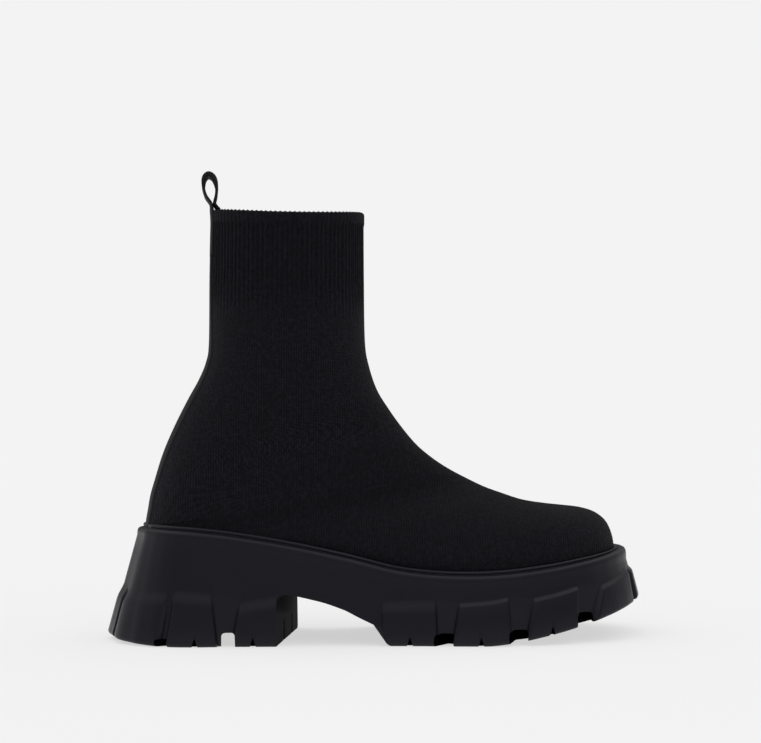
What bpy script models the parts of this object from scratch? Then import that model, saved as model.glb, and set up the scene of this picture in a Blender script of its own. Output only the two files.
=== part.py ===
"""Knitted sock boot on a chunky moulded platform sole, right foot, as closed solids.

Metres, +X to the toe, -Y to the outer side of the foot, +Z up, standing on z = 0.
The upper is a tube lofted through sections that fan round the ankle, from the collar to
the toe. The sole and the insole take their outline from the line in which the upper
meets the sole, and the strip and the pull loop lie on the upper's own surface.
"""
import math

import bmesh
import bpy
from mathutils import Matrix, Vector

# The upper
UPPER_LENGTH = 0.2620        # heel curve to toe tip, measured level
BALL_WIDTH = 0.0890          # across the ball of the foot
HEEL_WIDTH = 0.0640          # across the heel
TOE_HEIGHT = 0.0327          # top of the toe box over the platform
COLLAR_HEIGHT = 0.2360       # floor to the collar's top edge, at the back
SHAFT_DEPTH = 0.0850         # front to back
SHAFT_WIDTH = 0.0680         # side to side
SHAFT_SETBACK = 0.0347       # back of the shaft, forward of the heel curve
UPPER_WALL = 0.0020          # knit and lining together
HEM_HEIGHT = 0.0056          # turned hem at the collar
HEM_STEP = 0.0004            # how far the hem stands out
COLLAR_DIP = 0.0027          # how far the collar's sides lie under its front and back
SKIRT = 0.0110               # depth to which the loft runs on below the sole's top

# The sole
HEEL_SEAT = 0.0636           # floor to the upper's edge at the heel
PLATFORM = 0.0393            # floor to the upper's edge at the ball
TOE_LIFT = 0.0099            # the upper's edge at the toe, over the platform
TOE_SPRING = 0.0215          # tread's tip over the floor
TOE_REACH = 0.0132           # the tread's tip, forward of the upper's toe
SPRING_LENGTH = 0.0932       # length of the sprung tread, back from its tip
SPRING_POWER = 1.45          # how the spring gathers towards the tip
RIM_OUT = 0.0052             # rim of the sole, outside the upper
RIM_DROP = 0.0068            # height of the rim's rounding
TOE_LEDGE = 1.30             # how much flatter the rim's rounding starts at the toe
HEEL_REACH = 0.0215          # the tread's back end, behind the heel curve
HEEL_SPRING = 0.0030         # that end over the floor
HEEL_SPRING_LENGTH = 0.0395  # length of the rounded tread, forward of that end
SIDE_FLARE = 6.3             # degrees by which the side walls lean outward
END_FLARE = 8.7              # degrees that they gain at the toe and the back of the heel
PAD_STEP = 0.0017            # how far the side pads stand out
RECESS_STEP = 0.0014         # how far the wall between them lies back at the tread
PAD_HEIGHT = 0.0250          # their height over the tread
PAD_CHAMFER = 0.0018         # width of the pads' sloping edges
TREAD_EDGE = 0.0022          # rounding of the tread's outer edge
TREAD_BORDER = 0.0070        # band of the tread's underside that follows the pads
HEEL_BREAST = 0.0778         # heel curve to the heel's breast, in the middle of the sole
BREAST_SLANT = 0.0160        # how far the breast leads on the inner side, a ball width out
ARCH_LENGTH = 0.0489         # breast to the step behind the ball
ARCH_HEIGHT = 0.0270
HEEL_GROOVE = 0.0073         # width and height of the groove across the heel
HEEL_GROOVE_AT = 0.0445      # its middle, forward of the heel curve
SLOT_WIDTH = 0.0030          # upright slots in the heel's breast
SLOT_HEIGHT = 0.0110
SLOT_DEPTH = 0.0050
SLOT_PLACE = 0.0150          # their middles, out from the middle of the sole
LUG_GROOVE = 0.0090          # width of the grooves between the tread lugs
LUG_DEPTH = 0.0068           # their depth
LUG_REACH = 0.0260           # how far they run in from the tread's edge
LUG_SLANT = 28.0             # degrees by which they lean back on their way in
NOTCH_WIDTH = 0.0026         # nick in the lower edge of a pad
NOTCH_HEIGHT = 0.0040

# The smaller pieces
INSOLE_THICKNESS = 0.0040
INSOLE_ROUNDING = 0.0010     # of its top edge
INSOLE_MARGIN = 0.0022       # room between the insole and the upper
STRIP_TOP_WIDTH = 0.0150
STRIP_HEEL_WIDTH = 0.0270
STRIP_WIDENING = 0.0950      # height over which the back strip grows wider
STRIP_THICKNESS = 0.0010
TAPE_WIDTH = 0.0185
TAPE_THICKNESS = 0.0014
TAPE_TAIL = 0.0250           # stitched tails, down from the collar
LOOP_HEIGHT = 0.0214         # top of the pull loop over the collar
GAP = 0.0003                 # between pieces that touch

# How finely the curves are drawn
OUTLINE_STEPS = 160          # pieces of the sole's outline, on each side
WAIST_PAD = 3                # the last pad behind the waist, counted from 0
WAIST_PIECES = 5             # columns of the plain wall over the arch

# Sections of the shaft, from the collar down to the heel. Front and back are shares of the
# shaft's depth and of its setback, up is a share of the height from heel seat to collar,
# wide is a share of the shaft's width, full is the exponent of the egg-shaped section and
# widest says how far from front to back it is widest. Width runs from the shaft's to the
# heel's as the back of the section nears the heel curve.
SHAFT_COLUMNS = ("front", "front_up", "back", "back_up", "wide", "full", "widest")
SHAFT_ROWS = (
    (1.000, 0.995, 1.012, 1.000, 1.000, 2.20, 0.50),
    (1.002, 0.792, 0.994, 0.792, 0.995, 2.20, 0.50),
    (1.009, 0.583, 0.986, 0.577, 0.980, 2.20, 0.50),
    (1.035, 0.503, 0.940, 0.513, 0.968, 2.18, 0.52),
    (1.088, 0.426, 0.824, 0.455, 0.957, 2.16, 0.56),
    (1.164, 0.365, 0.666, 0.397, 0.959, 2.14, 0.61),
    (1.247, 0.308, 0.464, 0.316, 0.968, 2.12, 0.67),
    (1.346, 0.250, 0.277, 0.229, 0.982, 2.10, 0.73),
    (1.446, 0.208, 0.141, 0.142, 0.993, 2.08, 0.78),
    (1.552, 0.173, 0.040, 0.060, 1.003, 2.06, 0.81),
    (1.669, 0.142, 0.004, -0.060, 1.010, 2.06, 0.82),
)
# Sections of the foot, from the instep to the toe. Front and back are shares of the
# upper's length, up is a share of the toe box's height, under is a share of the skirt,
# wide and swing are shares of the ball width, and swing moves the section inward.
FOOT_COLUMNS = ("front", "front_up", "back", "under", "wide", "swing", "full", "widest")
FOOT_ROWS = (
    (0.7141, 1.336, 0.060, 1.00, 0.715, -0.010, 2.10, 0.79),
    (0.7523, 1.223, 0.250, 1.00, 0.745, -0.035, 2.20, 0.73),
    (0.7962, 1.110, 0.453, 1.00, 0.840, -0.045, 2.30, 0.70),
    (0.8458, 1.043, 0.644, 1.00, 0.985, -0.020, 2.45, 0.69),
    (0.8897, 1.000, 0.789, 1.00, 1.000, 0.030, 2.50, 0.70),
    (0.9279, 0.960, 0.872, 1.00, 0.920, 0.062, 2.50, 0.70),
    (0.9561, 0.893, 0.920, 0.95, 0.800, 0.078, 2.45, 0.68),
    (0.9779, 0.770, 0.948, 0.90, 0.670, 0.089, 2.40, 0.66),
    (0.9889, 0.633, 0.966, 0.85, 0.545, 0.096, 2.30, 0.62),
    (0.9954, 0.495, 0.980, 0.80, 0.420, 0.101, 2.20, 0.58),
    (1.0000, 0.303, 0.990, 0.75, 0.270, 0.105, 2.10, 0.54),
    (1.0015, 0.130, 0.996, 0.75, 0.110, 0.107, 2.00, 0.50),
)
# The edge in which the upper meets the sole: along is a share of the upper's length,
# heel is a share of the heel seat's rise over the platform, toe is a share of the toe lift
EDGE_COLUMNS = ("along", "heel", "toe")
EDGE_ROWS = (
    (-0.060, 1.010, 0.00),
    (0.028, 0.995, 0.00),
    (0.111, 0.950, 0.00),
    (0.213, 0.810, 0.00),
    (0.315, 0.612, 0.00),
    (0.418, 0.370, 0.00),
    (0.519, 0.105, 0.00),
    (0.620, 0.000, 0.00),
    (0.723, 0.000, 0.04),
    (0.830, 0.000, 0.33),
    (0.925, 0.000, 0.70),
    (1.000, 0.000, 1.00),
    (1.080, 0.000, 1.32),
)
# Profile of the rim, from the upper outward: out is a share of the rim's width and drop
# a share of its rounding. A narrow bead comes first, then a groove, then the shoulder.
RIM_COLUMNS = ("out", "drop")
RIM_ROWS = (
    (0.12, 0.00),
    (0.30, 0.06),
    (0.36, 0.17),
    (0.28, 0.27),
    (0.48, 0.34),
    (0.74, 0.48),
    (1.00, 1.00),
)
# Raised pads of the side wall: start and end are shares of the way from the middle of the
# heel's back to the toe's tip, at the pad's top and again at the tread, and the tops are
# shares of the pads' height over the tread. A pad may have a nick in its lower edge, and a
# groove in the tread may follow it.
PAD_COLUMNS = (
    "start", "end", "start_low", "end_low", "start_top", "end_top", "nick", "groove")
PAD_ROWS = (
    (0.000, 0.026, 0.000, 0.024, 1.10, 1.10, 0, 0),
    (0.042, 0.112, 0.040, 0.104, 1.06, 1.16, 0, 1),
    (0.126, 0.172, 0.118, 0.183, 1.20, 1.13, 1, 0),
    (0.230, 0.287, 0.212, 0.287, 0.96, 1.08, 1, 0),
    (0.472, 0.560, 0.473, 0.565, 0.96, 1.00, 1, 1),
    (0.607, 0.681, 0.594, 0.685, 0.90, 0.98, 1, 1),
    (0.731, 0.803, 0.715, 0.798, 0.90, 0.88, 1, 1),
    (0.855, 0.928, 0.833, 0.922, 0.77, 0.76, 0, 0),
    (0.944, 1.000, 0.942, 1.000, 0.70, 0.68, 0, 0),
)
# The gap under the waist, seen from the side: along is a share of its length from the heel
# breast, up a share of its height, and pull is how much a point follows the slanted breast
ARCH_COLUMNS = ("along", "up", "pull")
ARCH_ROWS = (
    (0.000, -0.30, 1.00),
    (0.000, 0.95, 1.00),
    (0.018, 1.00, 1.00),
    (0.100, 1.00, 0.90),
    (0.200, 0.96, 0.70),
    (0.300, 0.905, 0.50),
    (0.400, 0.845, 0.30),
    (0.500, 0.77, 0.15),
    (0.600, 0.69, 0.05),
    (0.700, 0.59, 0.00),
    (0.800, 0.50, 0.00),
    (0.900, 0.415, 0.00),
    (0.955, 0.385, 0.00),
    (0.985, 0.30, 0.00),
    (1.000, -0.30, 0.00),
)
# The pull loop's path from the collar up and over and down again: out is a share of the
# loop's height, backward of the upper's back, and up is a share of that height
LOOP_FLAT = 0.33             # share of its height where the tape no longer follows the wall
LOOP_COLUMNS = ("out", "up")
LOOP_ROWS = (
    (-0.150, 0.20),
    (-0.150, 0.45),
    (-0.130, 0.68),
    (-0.040, 0.88),
    (0.090, 0.97),
    (0.205, 0.86),
    (0.225, 0.62),
    (0.180, 0.38),
    (0.100, 0.17),
)


def table(columns, rows):
    """Rows of a table as dictionaries, by the names of its columns."""
    return [dict(zip(columns, row)) for row in rows]


def smooth(values, place):
    """A smooth curve through evenly spaced values, read at a place counted in rows."""
    last = len(values) - 1
    low = max(0, min(last - 1, int(math.floor(place))))
    part = place - low
    start, end = values[low], values[low + 1]
    before = values[low - 1] if low else 2 * start - end
    after = values[low + 2] if low + 2 <= last else 2 * end - start
    turn_in = (end - before) / 2
    turn_out = (after - start) / 2
    bend = 3 * (end - start) - 2 * turn_in - turn_out
    twist = 2 * (start - end) + turn_in + turn_out
    return start + part * (turn_in + part * (bend + part * twist))


def along_table(rows, key, name, value):
    """The smooth curve of a table's column, read where its key column has a value."""
    keys = [row[key] for row in rows]
    low = 0
    while low < len(keys) - 2 and keys[low + 1] < value:
        low += 1
    place = low + (value - keys[low]) / (keys[low + 1] - keys[low])
    place = max(0.0, min(len(keys) - 1.0, place))
    return smooth([row[name] for row in rows], place)


EDGES = table(EDGE_COLUMNS, EDGE_ROWS)


def edge_height(x):
    """Height of the edge between upper and sole, x metres forward of the heel curve."""
    along = x / UPPER_LENGTH
    heel = along_table(EDGES, "along", "heel", along)
    toe = along_table(EDGES, "along", "toe", along)
    return PLATFORM + heel * (HEEL_SEAT - PLATFORM) + toe * TOE_LIFT


def section_rows():
    """The upper's sections in metres, from the collar to the toe."""
    sections = []
    rise = COLLAR_HEIGHT - HEEL_SEAT
    for row in table(SHAFT_COLUMNS, SHAFT_ROWS):
        heel_share = min(1.0, max(0.0, 1.0 - row["back"]))
        width = SHAFT_WIDTH + heel_share * (HEEL_WIDTH - SHAFT_WIDTH)
        sections.append({
            "front_x": SHAFT_SETBACK + row["front"] * SHAFT_DEPTH,
            "front_z": HEEL_SEAT + row["front_up"] * rise,
            "back_x": row["back"] * SHAFT_SETBACK,
            "back_z": HEEL_SEAT + row["back_up"] * rise,
            "half": row["wide"] * width / 2,
            "swing": 0.0,
            "full": row["full"],
            "widest": row["widest"],
            "dip": 0.0,
        })
    sections[0]["dip"] = COLLAR_DIP
    for row in table(FOOT_COLUMNS, FOOT_ROWS):
        back_x = row["back"] * UPPER_LENGTH
        sections.append({
            "front_x": row["front"] * UPPER_LENGTH,
            "front_z": PLATFORM + row["front_up"] * TOE_HEIGHT,
            "back_x": back_x,
            "back_z": edge_height(back_x) - row["under"] * SKIRT,
            "half": row["wide"] * BALL_WIDTH / 2,
            "swing": row["swing"] * BALL_WIDTH,
            "full": row["full"],
            "widest": row["widest"],
            "dip": 0.0,
        })
    return sections


SECTIONS = section_rows()
LAST_SECTION = len(SECTIONS) - 1


def section_at(place):
    """The upper's section at a place counted in rows of the tables."""
    return {name: smooth([row[name] for row in SECTIONS], place) for name in SECTIONS[0]}


def section_point(section, angle):
    """A point of a section, 0 at the front or top, pi at the back, below pi on the outer side."""
    turn = math.cos(angle)
    widest = section["widest"]
    share = widest * (1 - turn) if turn > 0 else widest - (1 - widest) * turn
    side = math.sin(angle)
    bulge = section["half"] * math.copysign(abs(side) ** (2 / section["full"]), side)
    x = section["front_x"] + share * (section["back_x"] - section["front_x"])
    z = section["front_z"] + share * (section["back_z"] - section["front_z"])
    return Vector((x, section["swing"] - bulge, z - section["dip"] * side ** 2))


def surface_normal(place, angle):
    """The outward normal of the upper at a place and an angle."""
    step = 0.02
    low = section_at(max(0.0, place - step))
    high = section_at(min(LAST_SECTION, place + step))
    down = section_point(high, angle) - section_point(low, angle)
    here = section_at(place)
    round_it = section_point(here, angle + step) - section_point(here, angle - step)
    return round_it.cross(down).normalized()


def place_at_back(height):
    """The place whose section meets the upper's back at a height."""
    low, high = 0.0, float(len(SHAFT_ROWS) - 1)
    for _ in range(40):
        middle = (low + high) / 2
        if section_at(middle)["back_z"] > height:
            low = middle
        else:
            high = middle
    return (low + high) / 2


def back_angle(section, y):
    """The angle at which a section's back part lies y metres off the middle."""
    side = min(1.0, abs(y) / section["half"]) ** (section["full"] / 2)
    angle = math.pi - math.asin(side)
    return angle if y <= 0 else 2 * math.pi - angle


def new_material(name, colour, roughness):
    material = bpy.data.materials.new(name)
    material.use_nodes = True
    shader = material.node_tree.nodes["Principled BSDF"]
    shader.inputs["Base Color"].default_value = (*colour, 1.0)
    shader.inputs["Roughness"].default_value = roughness
    shader.inputs["Metallic"].default_value = 0.0
    material.diffuse_color = (*colour, 1.0)
    return material


def add_object(name, points, faces, collection, material):
    """A mesh object from points and faces, with its faces turned outward."""
    mesh = bpy.data.meshes.new(name)
    mesh.from_pydata([tuple(point) for point in points], [], faces)
    edit = bmesh.new()
    edit.from_mesh(mesh)
    bmesh.ops.remove_doubles(edit, verts=edit.verts, dist=1e-6)
    bmesh.ops.recalc_face_normals(edit, faces=edit.faces)
    bmesh.ops.triangulate(edit, faces=edit.faces)
    edit.to_mesh(mesh)
    edit.free()
    thing = bpy.data.objects.new(name, mesh)
    collection.objects.link(thing)
    mesh.materials.append(material)
    mesh.shade_smooth()
    mesh.set_sharp_from_angle(angle=math.radians(35))
    return thing


def add_cutter(name, edit, collection):
    """An object that only cuts others, from a finished bmesh."""
    bmesh.ops.recalc_face_normals(edit, faces=edit.faces)
    bmesh.ops.triangulate(edit, faces=edit.faces)
    mesh = bpy.data.meshes.new(name)
    edit.to_mesh(mesh)
    edit.free()
    cutter = bpy.data.objects.new(name, mesh)
    cutter.hide_render = True
    cutter.display_type = "WIRE"
    collection.objects.link(cutter)
    return cutter


def cut(thing, cutter):
    modifier = thing.modifiers.new(f"cut by {cutter.name}", "BOOLEAN")
    modifier.operation = "DIFFERENCE"
    modifier.solver = "EXACT"
    modifier.object = cutter


def solidify(thing, thickness, offset):
    modifier = thing.modifiers.new("thickness", "SOLIDIFY")
    modifier.thickness = thickness
    modifier.offset = offset
    modifier.use_even_offset = True


def prism(outline, half_width, skew=0.0):
    """A bmesh: an outline in x and z drawn out along y, its far end moved by the skew."""
    edit = bmesh.new()
    rings = []
    for side in (-1, 1):
        shift = skew * side
        rings.append([edit.verts.new((x + shift * pull, side * half_width, z)) for x, z, pull in outline])
    count = len(outline)
    for index in range(count):
        following = (index + 1) % count
        edit.faces.new((rings[0][index], rings[0][following], rings[1][following], rings[1][index]))
    edit.faces.new(rings[0])
    edit.faces.new(list(reversed(rings[1])))
    return edit


def make_upper(collection, cutters, material):
    """The knitted sock: one open tube with a wall, cut off where the sole closes it."""
    around = 32
    hem_end = place_at_back(COLLAR_HEIGHT - HEM_HEIGHT)
    under_hem = place_at_back(COLLAR_HEIGHT - HEM_HEIGHT - HEM_STEP)
    places = [0.0, hem_end, under_hem]
    places += [0.6, 1.0, 1.5]
    places += [2.0 + step / 2 for step in range(2 * (LAST_SECTION - 2) + 1)]
    points = []
    for place in places:
        section = section_at(place)
        step_out = HEM_STEP if place < under_hem else 0.0
        for index in range(around):
            angle = 2 * math.pi * index / around
            point = section_point(section, angle)
            if step_out:
                point = point + surface_normal(place, angle) * step_out
            points.append(point)
    faces = []
    for ring in range(len(places) - 1):
        for index in range(around):
            following = (index + 1) % around
            low = ring * around
            high = low + around
            faces.append((low + index, low + following, high + following, high + index))
    faces.append(tuple(range(len(points) - around, len(points))))
    upper = add_object("upper", points, faces, collection, material)
    turn_outward(upper)
    solidify(upper, UPPER_WALL, -1.0)
    cut(upper, sole_top_cutter(cutters))
    return upper


def turn_outward(thing):
    """Turns an open shell's faces away from the middle of the piece."""
    mesh = thing.data
    middle = sum((vertex.co for vertex in mesh.vertices), Vector()) / len(mesh.vertices)
    outward = sum((face.center - middle).dot(face.normal) * face.area for face in mesh.polygons)
    if outward < 0:
        mesh.flip_normals()


def sole_top_cutter(cutters):
    """Everything below the sole's top and the gap over it, under the upper."""
    steps = 48
    start = -0.10 * UPPER_LENGTH
    end = 1.08 * UPPER_LENGTH
    outline = [(start, -SKIRT, 0.0), (end, -SKIRT, 0.0)]
    for step in range(steps + 1):
        x = end + (start - end) * step / steps
        outline.append((x, edge_height(x) + GAP, 0.0))
    return add_cutter("below the upper", prism(outline, BALL_WIDTH), cutters)


def edge_line(side):
    """Plan points where the upper's outside meets the sole, from heel to toe, on one side."""
    turn = math.pi if side < 0 else -math.pi
    steps = 90
    line = []
    for index in range(24 * LAST_SECTION + 1):
        section = section_at(index / 24)
        before = None
        for step in range(steps + 1):
            point = section_point(section, turn * step / steps)
            over = point.z - edge_height(point.x)
            if before is not None and before[1] > 0 >= over:
                share = before[1] / (before[1] - over)
                crossing = before[0].lerp(point, share)
                line.append((crossing.x, crossing.y))
                break
            before = (point, over)
    return [(*end_point("back"),)] + line + [(*end_point("front"),)]


def end_point(which):
    """Plan point where the upper's back or front middle line meets the sole."""
    low, high = 0.0, float(LAST_SECTION)
    for _ in range(50):
        middle = (low + high) / 2
        section = section_at(middle)
        over = section[f"{which}_z"] - edge_height(section[f"{which}_x"])
        if over > 0:
            low = middle
        else:
            high = middle
    section = section_at((low + high) / 2)
    return section[f"{which}_x"], section["swing"]


def evened(line, count):
    """A plan line as points the same distance apart."""
    lengths = [0.0]
    for first, second in zip(line, line[1:]):
        lengths.append(lengths[-1] + math.dist(first, second))
    points = []
    index = 0
    for step in range(count + 1):
        target = lengths[-1] * step / count
        while index < len(line) - 2 and lengths[index + 1] < target:
            index += 1
        span = lengths[index + 1] - lengths[index]
        share = (target - lengths[index]) / span if span else 0.0
        start, end = line[index], line[index + 1]
        points.append((start[0] + share * (end[0] - start[0]), start[1] + share * (end[1] - start[1])))
    return points


OUTLINES = {side: evened(edge_line(side), OUTLINE_STEPS) for side in (-1, 1)}


def outline_step(side, index):
    """A point of the evened outline, running on round the heel and the toe to the other side."""
    if index < 0:
        return OUTLINES[-side][-index]
    if index > OUTLINE_STEPS:
        return OUTLINES[-side][2 * OUTLINE_STEPS - index]
    return OUTLINES[side][index]


def outline_point(side, share):
    """A point of the upper's edge and its outward direction, a share of the way to the toe."""
    place = share * OUTLINE_STEPS
    low = min(OUTLINE_STEPS - 1, int(place))
    part = place - low
    near = [Vector(outline_step(side, low + step)) for step in range(-2, 4)]
    point = Vector((smooth([spot.x for spot in near], 2 + part), smooth([spot.y for spot in near], 2 + part)))
    run = (near[3] - near[1]) * (1 - part) + (near[4] - near[2]) * part
    run.normalize()
    return point, Vector((-run.y, run.x)) * side


def tread_height(x):
    """Height of the tread: rounded up behind, flat, then sprung up towards the toe."""
    toe_share = max(0.0, (x - UPPER_LENGTH - TOE_REACH) / SPRING_LENGTH + 1)
    heel_share = max(0.0, 1 - (x + HEEL_REACH) / HEEL_SPRING_LENGTH)
    return TOE_SPRING * toe_share ** SPRING_POWER + HEEL_SPRING * heel_share ** 2


def wall_slope(outward):
    """How far the sole's wall leans out for its height, where it faces a plan direction."""
    return math.tan(math.radians(SIDE_FLARE + END_FLARE * outward.x ** 2))


def tread_edge(side, share):
    """Plan point under the wall where it reaches the tread, its outward way, and its height."""
    point, outward = outline_point(side, share)
    wall_top = edge_height(point.x) - RIM_DROP
    reach = RIM_OUT
    for _ in range(3):
        height = tread_height(point.x + outward.x * reach)
        reach = RIM_OUT + wall_slope(outward) * (wall_top - height)
    return point + outward * reach, outward, height


def pad_top(pads, share):
    """Height of the pads' top line over the tread, as a share of the pads' height."""
    before = pads[0]
    for pad in pads:
        if share < pad["start"]:
            gap_share = (share - before["end"]) / (pad["start"] - before["end"])
            return before["end_top"] + gap_share * (pad["start_top"] - before["end_top"])
        if share <= pad["end"]:
            pad_share = (share - pad["start"]) / (pad["end"] - pad["start"])
            return pad["start_top"] + pad_share * (pad["end_top"] - pad["start_top"])
        before = pad
    return before["end_top"]


def sole_columns(pads, perimeter):
    """Columns of the sole's wall: share of the way at the pads' top and at the tread, and lift.

    The lift is 1 on a pad, -1 in the recess between two pads and 0 on the plain waist.
    """
    chamfer = PAD_CHAMFER / perimeter
    columns = []
    for index, pad in enumerate(pads):
        before = 0 if index == WAIST_PAD + 1 else -1
        after = 0 if index == WAIST_PAD else -1
        if pad["start"] > 0:
            columns.append((pad["start"] - chamfer, pad["start_low"] - chamfer, before))
        for part in (0, 0.5, 1):
            columns.append((
                pad["start"] + (pad["end"] - pad["start"]) * part,
                pad["start_low"] + (pad["end_low"] - pad["start_low"]) * part, 1))
        if pad["end"] < 1:
            columns.append((pad["end"] + chamfer, pad["end_low"] + chamfer, after))
    start, end = pads[WAIST_PAD]["end"], pads[WAIST_PAD + 1]["start"]
    for step in range(1, WAIST_PIECES):
        share = start + (end - start) * step / WAIST_PIECES
        columns.append((share, share, 0))
    return sorted(columns)


def sole_column(pads, side, top_share, low_share, lift):
    """The points of one column of the sole's side, from the rim down to the tread."""
    point, outward = outline_point(side, top_share)
    top = edge_height(point.x)
    ledge = TOE_LEDGE * max(0.0, outward.x) ** 2
    column = []
    for row in table(RIM_COLUMNS, RIM_ROWS):
        spot = point + outward * row["out"] * RIM_OUT
        drop = row["drop"] * (1 - ledge * (1 - row["drop"]))
        column.append(Vector((spot.x, spot.y, top - drop * RIM_DROP)))
    bottom = tread_edge(side, low_share)[2]
    crest = min(bottom + pad_top(pads, top_share) * PAD_HEIGHT, top - RIM_DROP - 2 * PAD_CHAMFER)
    levels = (
        (crest, 0.0, 0.0),
        (crest - PAD_CHAMFER, 1.0, 0.0),
        (bottom + TREAD_EDGE, 1.0, 0.0),
        (bottom + TREAD_EDGE * 0.3, 1.0, 0.3),
        (bottom, 1.0, 1.0),
    )
    for height, step, turned in levels:
        down = (crest - height) / (crest - bottom)
        point, outward = outline_point(side, top_share + (low_share - top_share) * down)
        wall_top = edge_height(point.x) - RIM_DROP
        out = RIM_OUT + wall_slope(outward) * (wall_top - height) - turned * TREAD_EDGE
        out += step * PAD_STEP if lift > 0 else lift * down * RECESS_STEP
        spot = point + outward * out
        column.append(Vector((spot.x, spot.y, height)))
    edge, outward, bottom = tread_edge(side, low_share)
    spot = edge - outward * TREAD_BORDER
    column.append(Vector((spot.x, spot.y, tread_height(spot.x))))
    return column


def make_sole(collection, cutters, material):
    """The moulded unit: rim, flared wall with pads, heel, arch and tread."""
    pads = table(PAD_COLUMNS, PAD_ROWS)
    perimeter = sum(math.dist(a, b) for a, b in zip(OUTLINES[-1], OUTLINES[-1][1:]))
    columns = sole_columns(pads, perimeter)
    points = []
    for side in (-1, 1):
        for top_share, low_share, lift in columns:
            points += sole_column(pads, side, top_share, low_share, lift)
    count = len(columns)
    rows = len(points) // (2 * count)
    faces = []
    for side in (0, 1):
        start = side * count * rows
        for index in range(count - 1):
            for row in range(rows - 1):
                near = start + index * rows + row
                far = near + rows
                faces.append((near, far, far + 1, near + 1))
    for index in range(count - 1):
        for row in (0, rows - 1):
            near = index * rows + row
            across = near + count * rows
            faces.append((near, near + rows, across + rows, across))
    sole = add_object("sole_unit", points, faces, collection, material)
    cut(sole, arch_cutter(cutters))
    cut(sole, heel_groove_cutter(cutters))
    cut(sole, lug_cutter(pads, cutters))
    return sole


def arch_cutter(cutters):
    """The open gap between heel and forefoot, its heel side slanted like the breast."""
    outline = []
    for row in table(ARCH_COLUMNS, ARCH_ROWS):
        x = HEEL_BREAST + row["along"] * ARCH_LENGTH
        outline.append((x, row["up"] * ARCH_HEIGHT, row["pull"]))
    return add_cutter("arch", prism(outline, BALL_WIDTH, BREAST_SLANT), cutters)


def heel_groove_cutter(cutters):
    """The groove straight across the heel, with its upper corners rounded."""
    half = HEEL_GROOVE / 2
    corner = HEEL_GROOVE * 0.28
    outline = [(HEEL_GROOVE_AT - half, -HEEL_GROOVE, 0.0)]
    for turn in (0, 45, 90):
        x = HEEL_GROOVE_AT - half + corner * (1 - math.cos(math.radians(turn)))
        outline.append((x, HEEL_GROOVE - corner + corner * math.sin(math.radians(turn)), 0.0))
    mirrored = [(2 * HEEL_GROOVE_AT - x, z, pull) for x, z, pull in reversed(outline)]
    return add_cutter("heel groove", prism(outline + mirrored, BALL_WIDTH), cutters)


def box_matrix(spot, height, direction, size):
    """Puts a unit cube at a plan point and a height, along a plan direction, at a size."""
    place = Matrix.Translation((spot.x, spot.y, height))
    turn = Matrix.Rotation(math.atan2(direction.y, direction.x), 4, "Z")
    return place @ turn @ Matrix.Diagonal((*size, 1.0))


def lug_cutter(pads, cutters):
    """Slanting grooves between the tread's lugs, nicks in the pads, and slots in the breast."""
    edit = bmesh.new()
    for side in (-1, 1):
        for pad, following in zip(pads, pads[1:]):
            if pad["groove"]:
                edge, outward, bottom = tread_edge(side, (pad["end_low"] + following["start_low"]) / 2)
                inward = -(Matrix.Rotation(math.radians(LUG_SLANT) * side, 2) @ outward)
                middle = edge + inward * (LUG_REACH - LUG_GROOVE) / 2
                size = (LUG_REACH + LUG_GROOVE, LUG_GROOVE, 2 * LUG_DEPTH)
                matrix = box_matrix(middle, bottom, inward, size)
                bmesh.ops.create_cube(edit, size=1.0, matrix=matrix)
            if pad["nick"]:
                edge, outward, bottom = tread_edge(side, (pad["start_low"] + pad["end_low"]) / 2)
                root = math.sqrt(0.5)
                size = (2 * TREAD_EDGE, NOTCH_WIDTH * root, 2 * NOTCH_HEIGHT * root)
                corner_up = Matrix.Rotation(math.radians(45), 4, "X")
                matrix = box_matrix(edge + outward * PAD_STEP, bottom, outward, size) @ corner_up
                bmesh.ops.create_cube(edit, size=1.0, matrix=matrix)
        breast = HEEL_BREAST + BREAST_SLANT * side * SLOT_PLACE / BALL_WIDTH
        spot = Vector((breast, side * SLOT_PLACE))
        matrix = box_matrix(spot, 0.0, Vector((1.0, 0.0)), (2 * SLOT_DEPTH, SLOT_WIDTH, 2 * SLOT_HEIGHT))
        bmesh.ops.create_cube(edit, size=1.0, matrix=matrix)
    return add_cutter("lugs", edit, cutters)


def make_insole(collection, material):
    """The insole on the moulded footbed, inside the upper's wall."""
    inset = UPPER_WALL + INSOLE_MARGIN
    columns = 26
    top = GAP + INSOLE_THICKNESS
    points = []
    rows = ((0.0, GAP), (0.0, top - INSOLE_ROUNDING), (INSOLE_ROUNDING, top))
    for side in (-1, 1):
        for index in range(columns + 1):
            share = (1 - math.cos(math.pi * index / columns)) / 2
            point, outward = outline_point(side, share)
            for inward, over in rows:
                spot = point - outward * (inset + inward)
                points.append((spot.x, spot.y, edge_height(spot.x) + over))
    count = len(rows)
    faces = []
    for side in (0, 1):
        start = side * (columns + 1) * count
        for index in range(columns):
            for row in range(count - 1):
                near = start + index * count + row
                faces.append((near, near + count, near + count + 1, near + 1))
    across = (columns + 1) * count
    for index in range(columns):
        for row in (0, count - 1):
            near = index * count + row
            faces.append((near, near + count, near + count + across, near + across))
    return add_object("insole", points, faces, collection, material)


def strip_half_width(height):
    """Half the back strip's width: narrow on the shaft, wider from the ankle down."""
    share = (COLLAR_HEIGHT - TAPE_TAIL - height) / STRIP_WIDENING
    share = max(0.0, min(1.0, share))
    eased = share * share * (3 - 2 * share)
    return (STRIP_TOP_WIDTH + (STRIP_HEEL_WIDTH - STRIP_TOP_WIDTH) * eased) / 2


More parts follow.
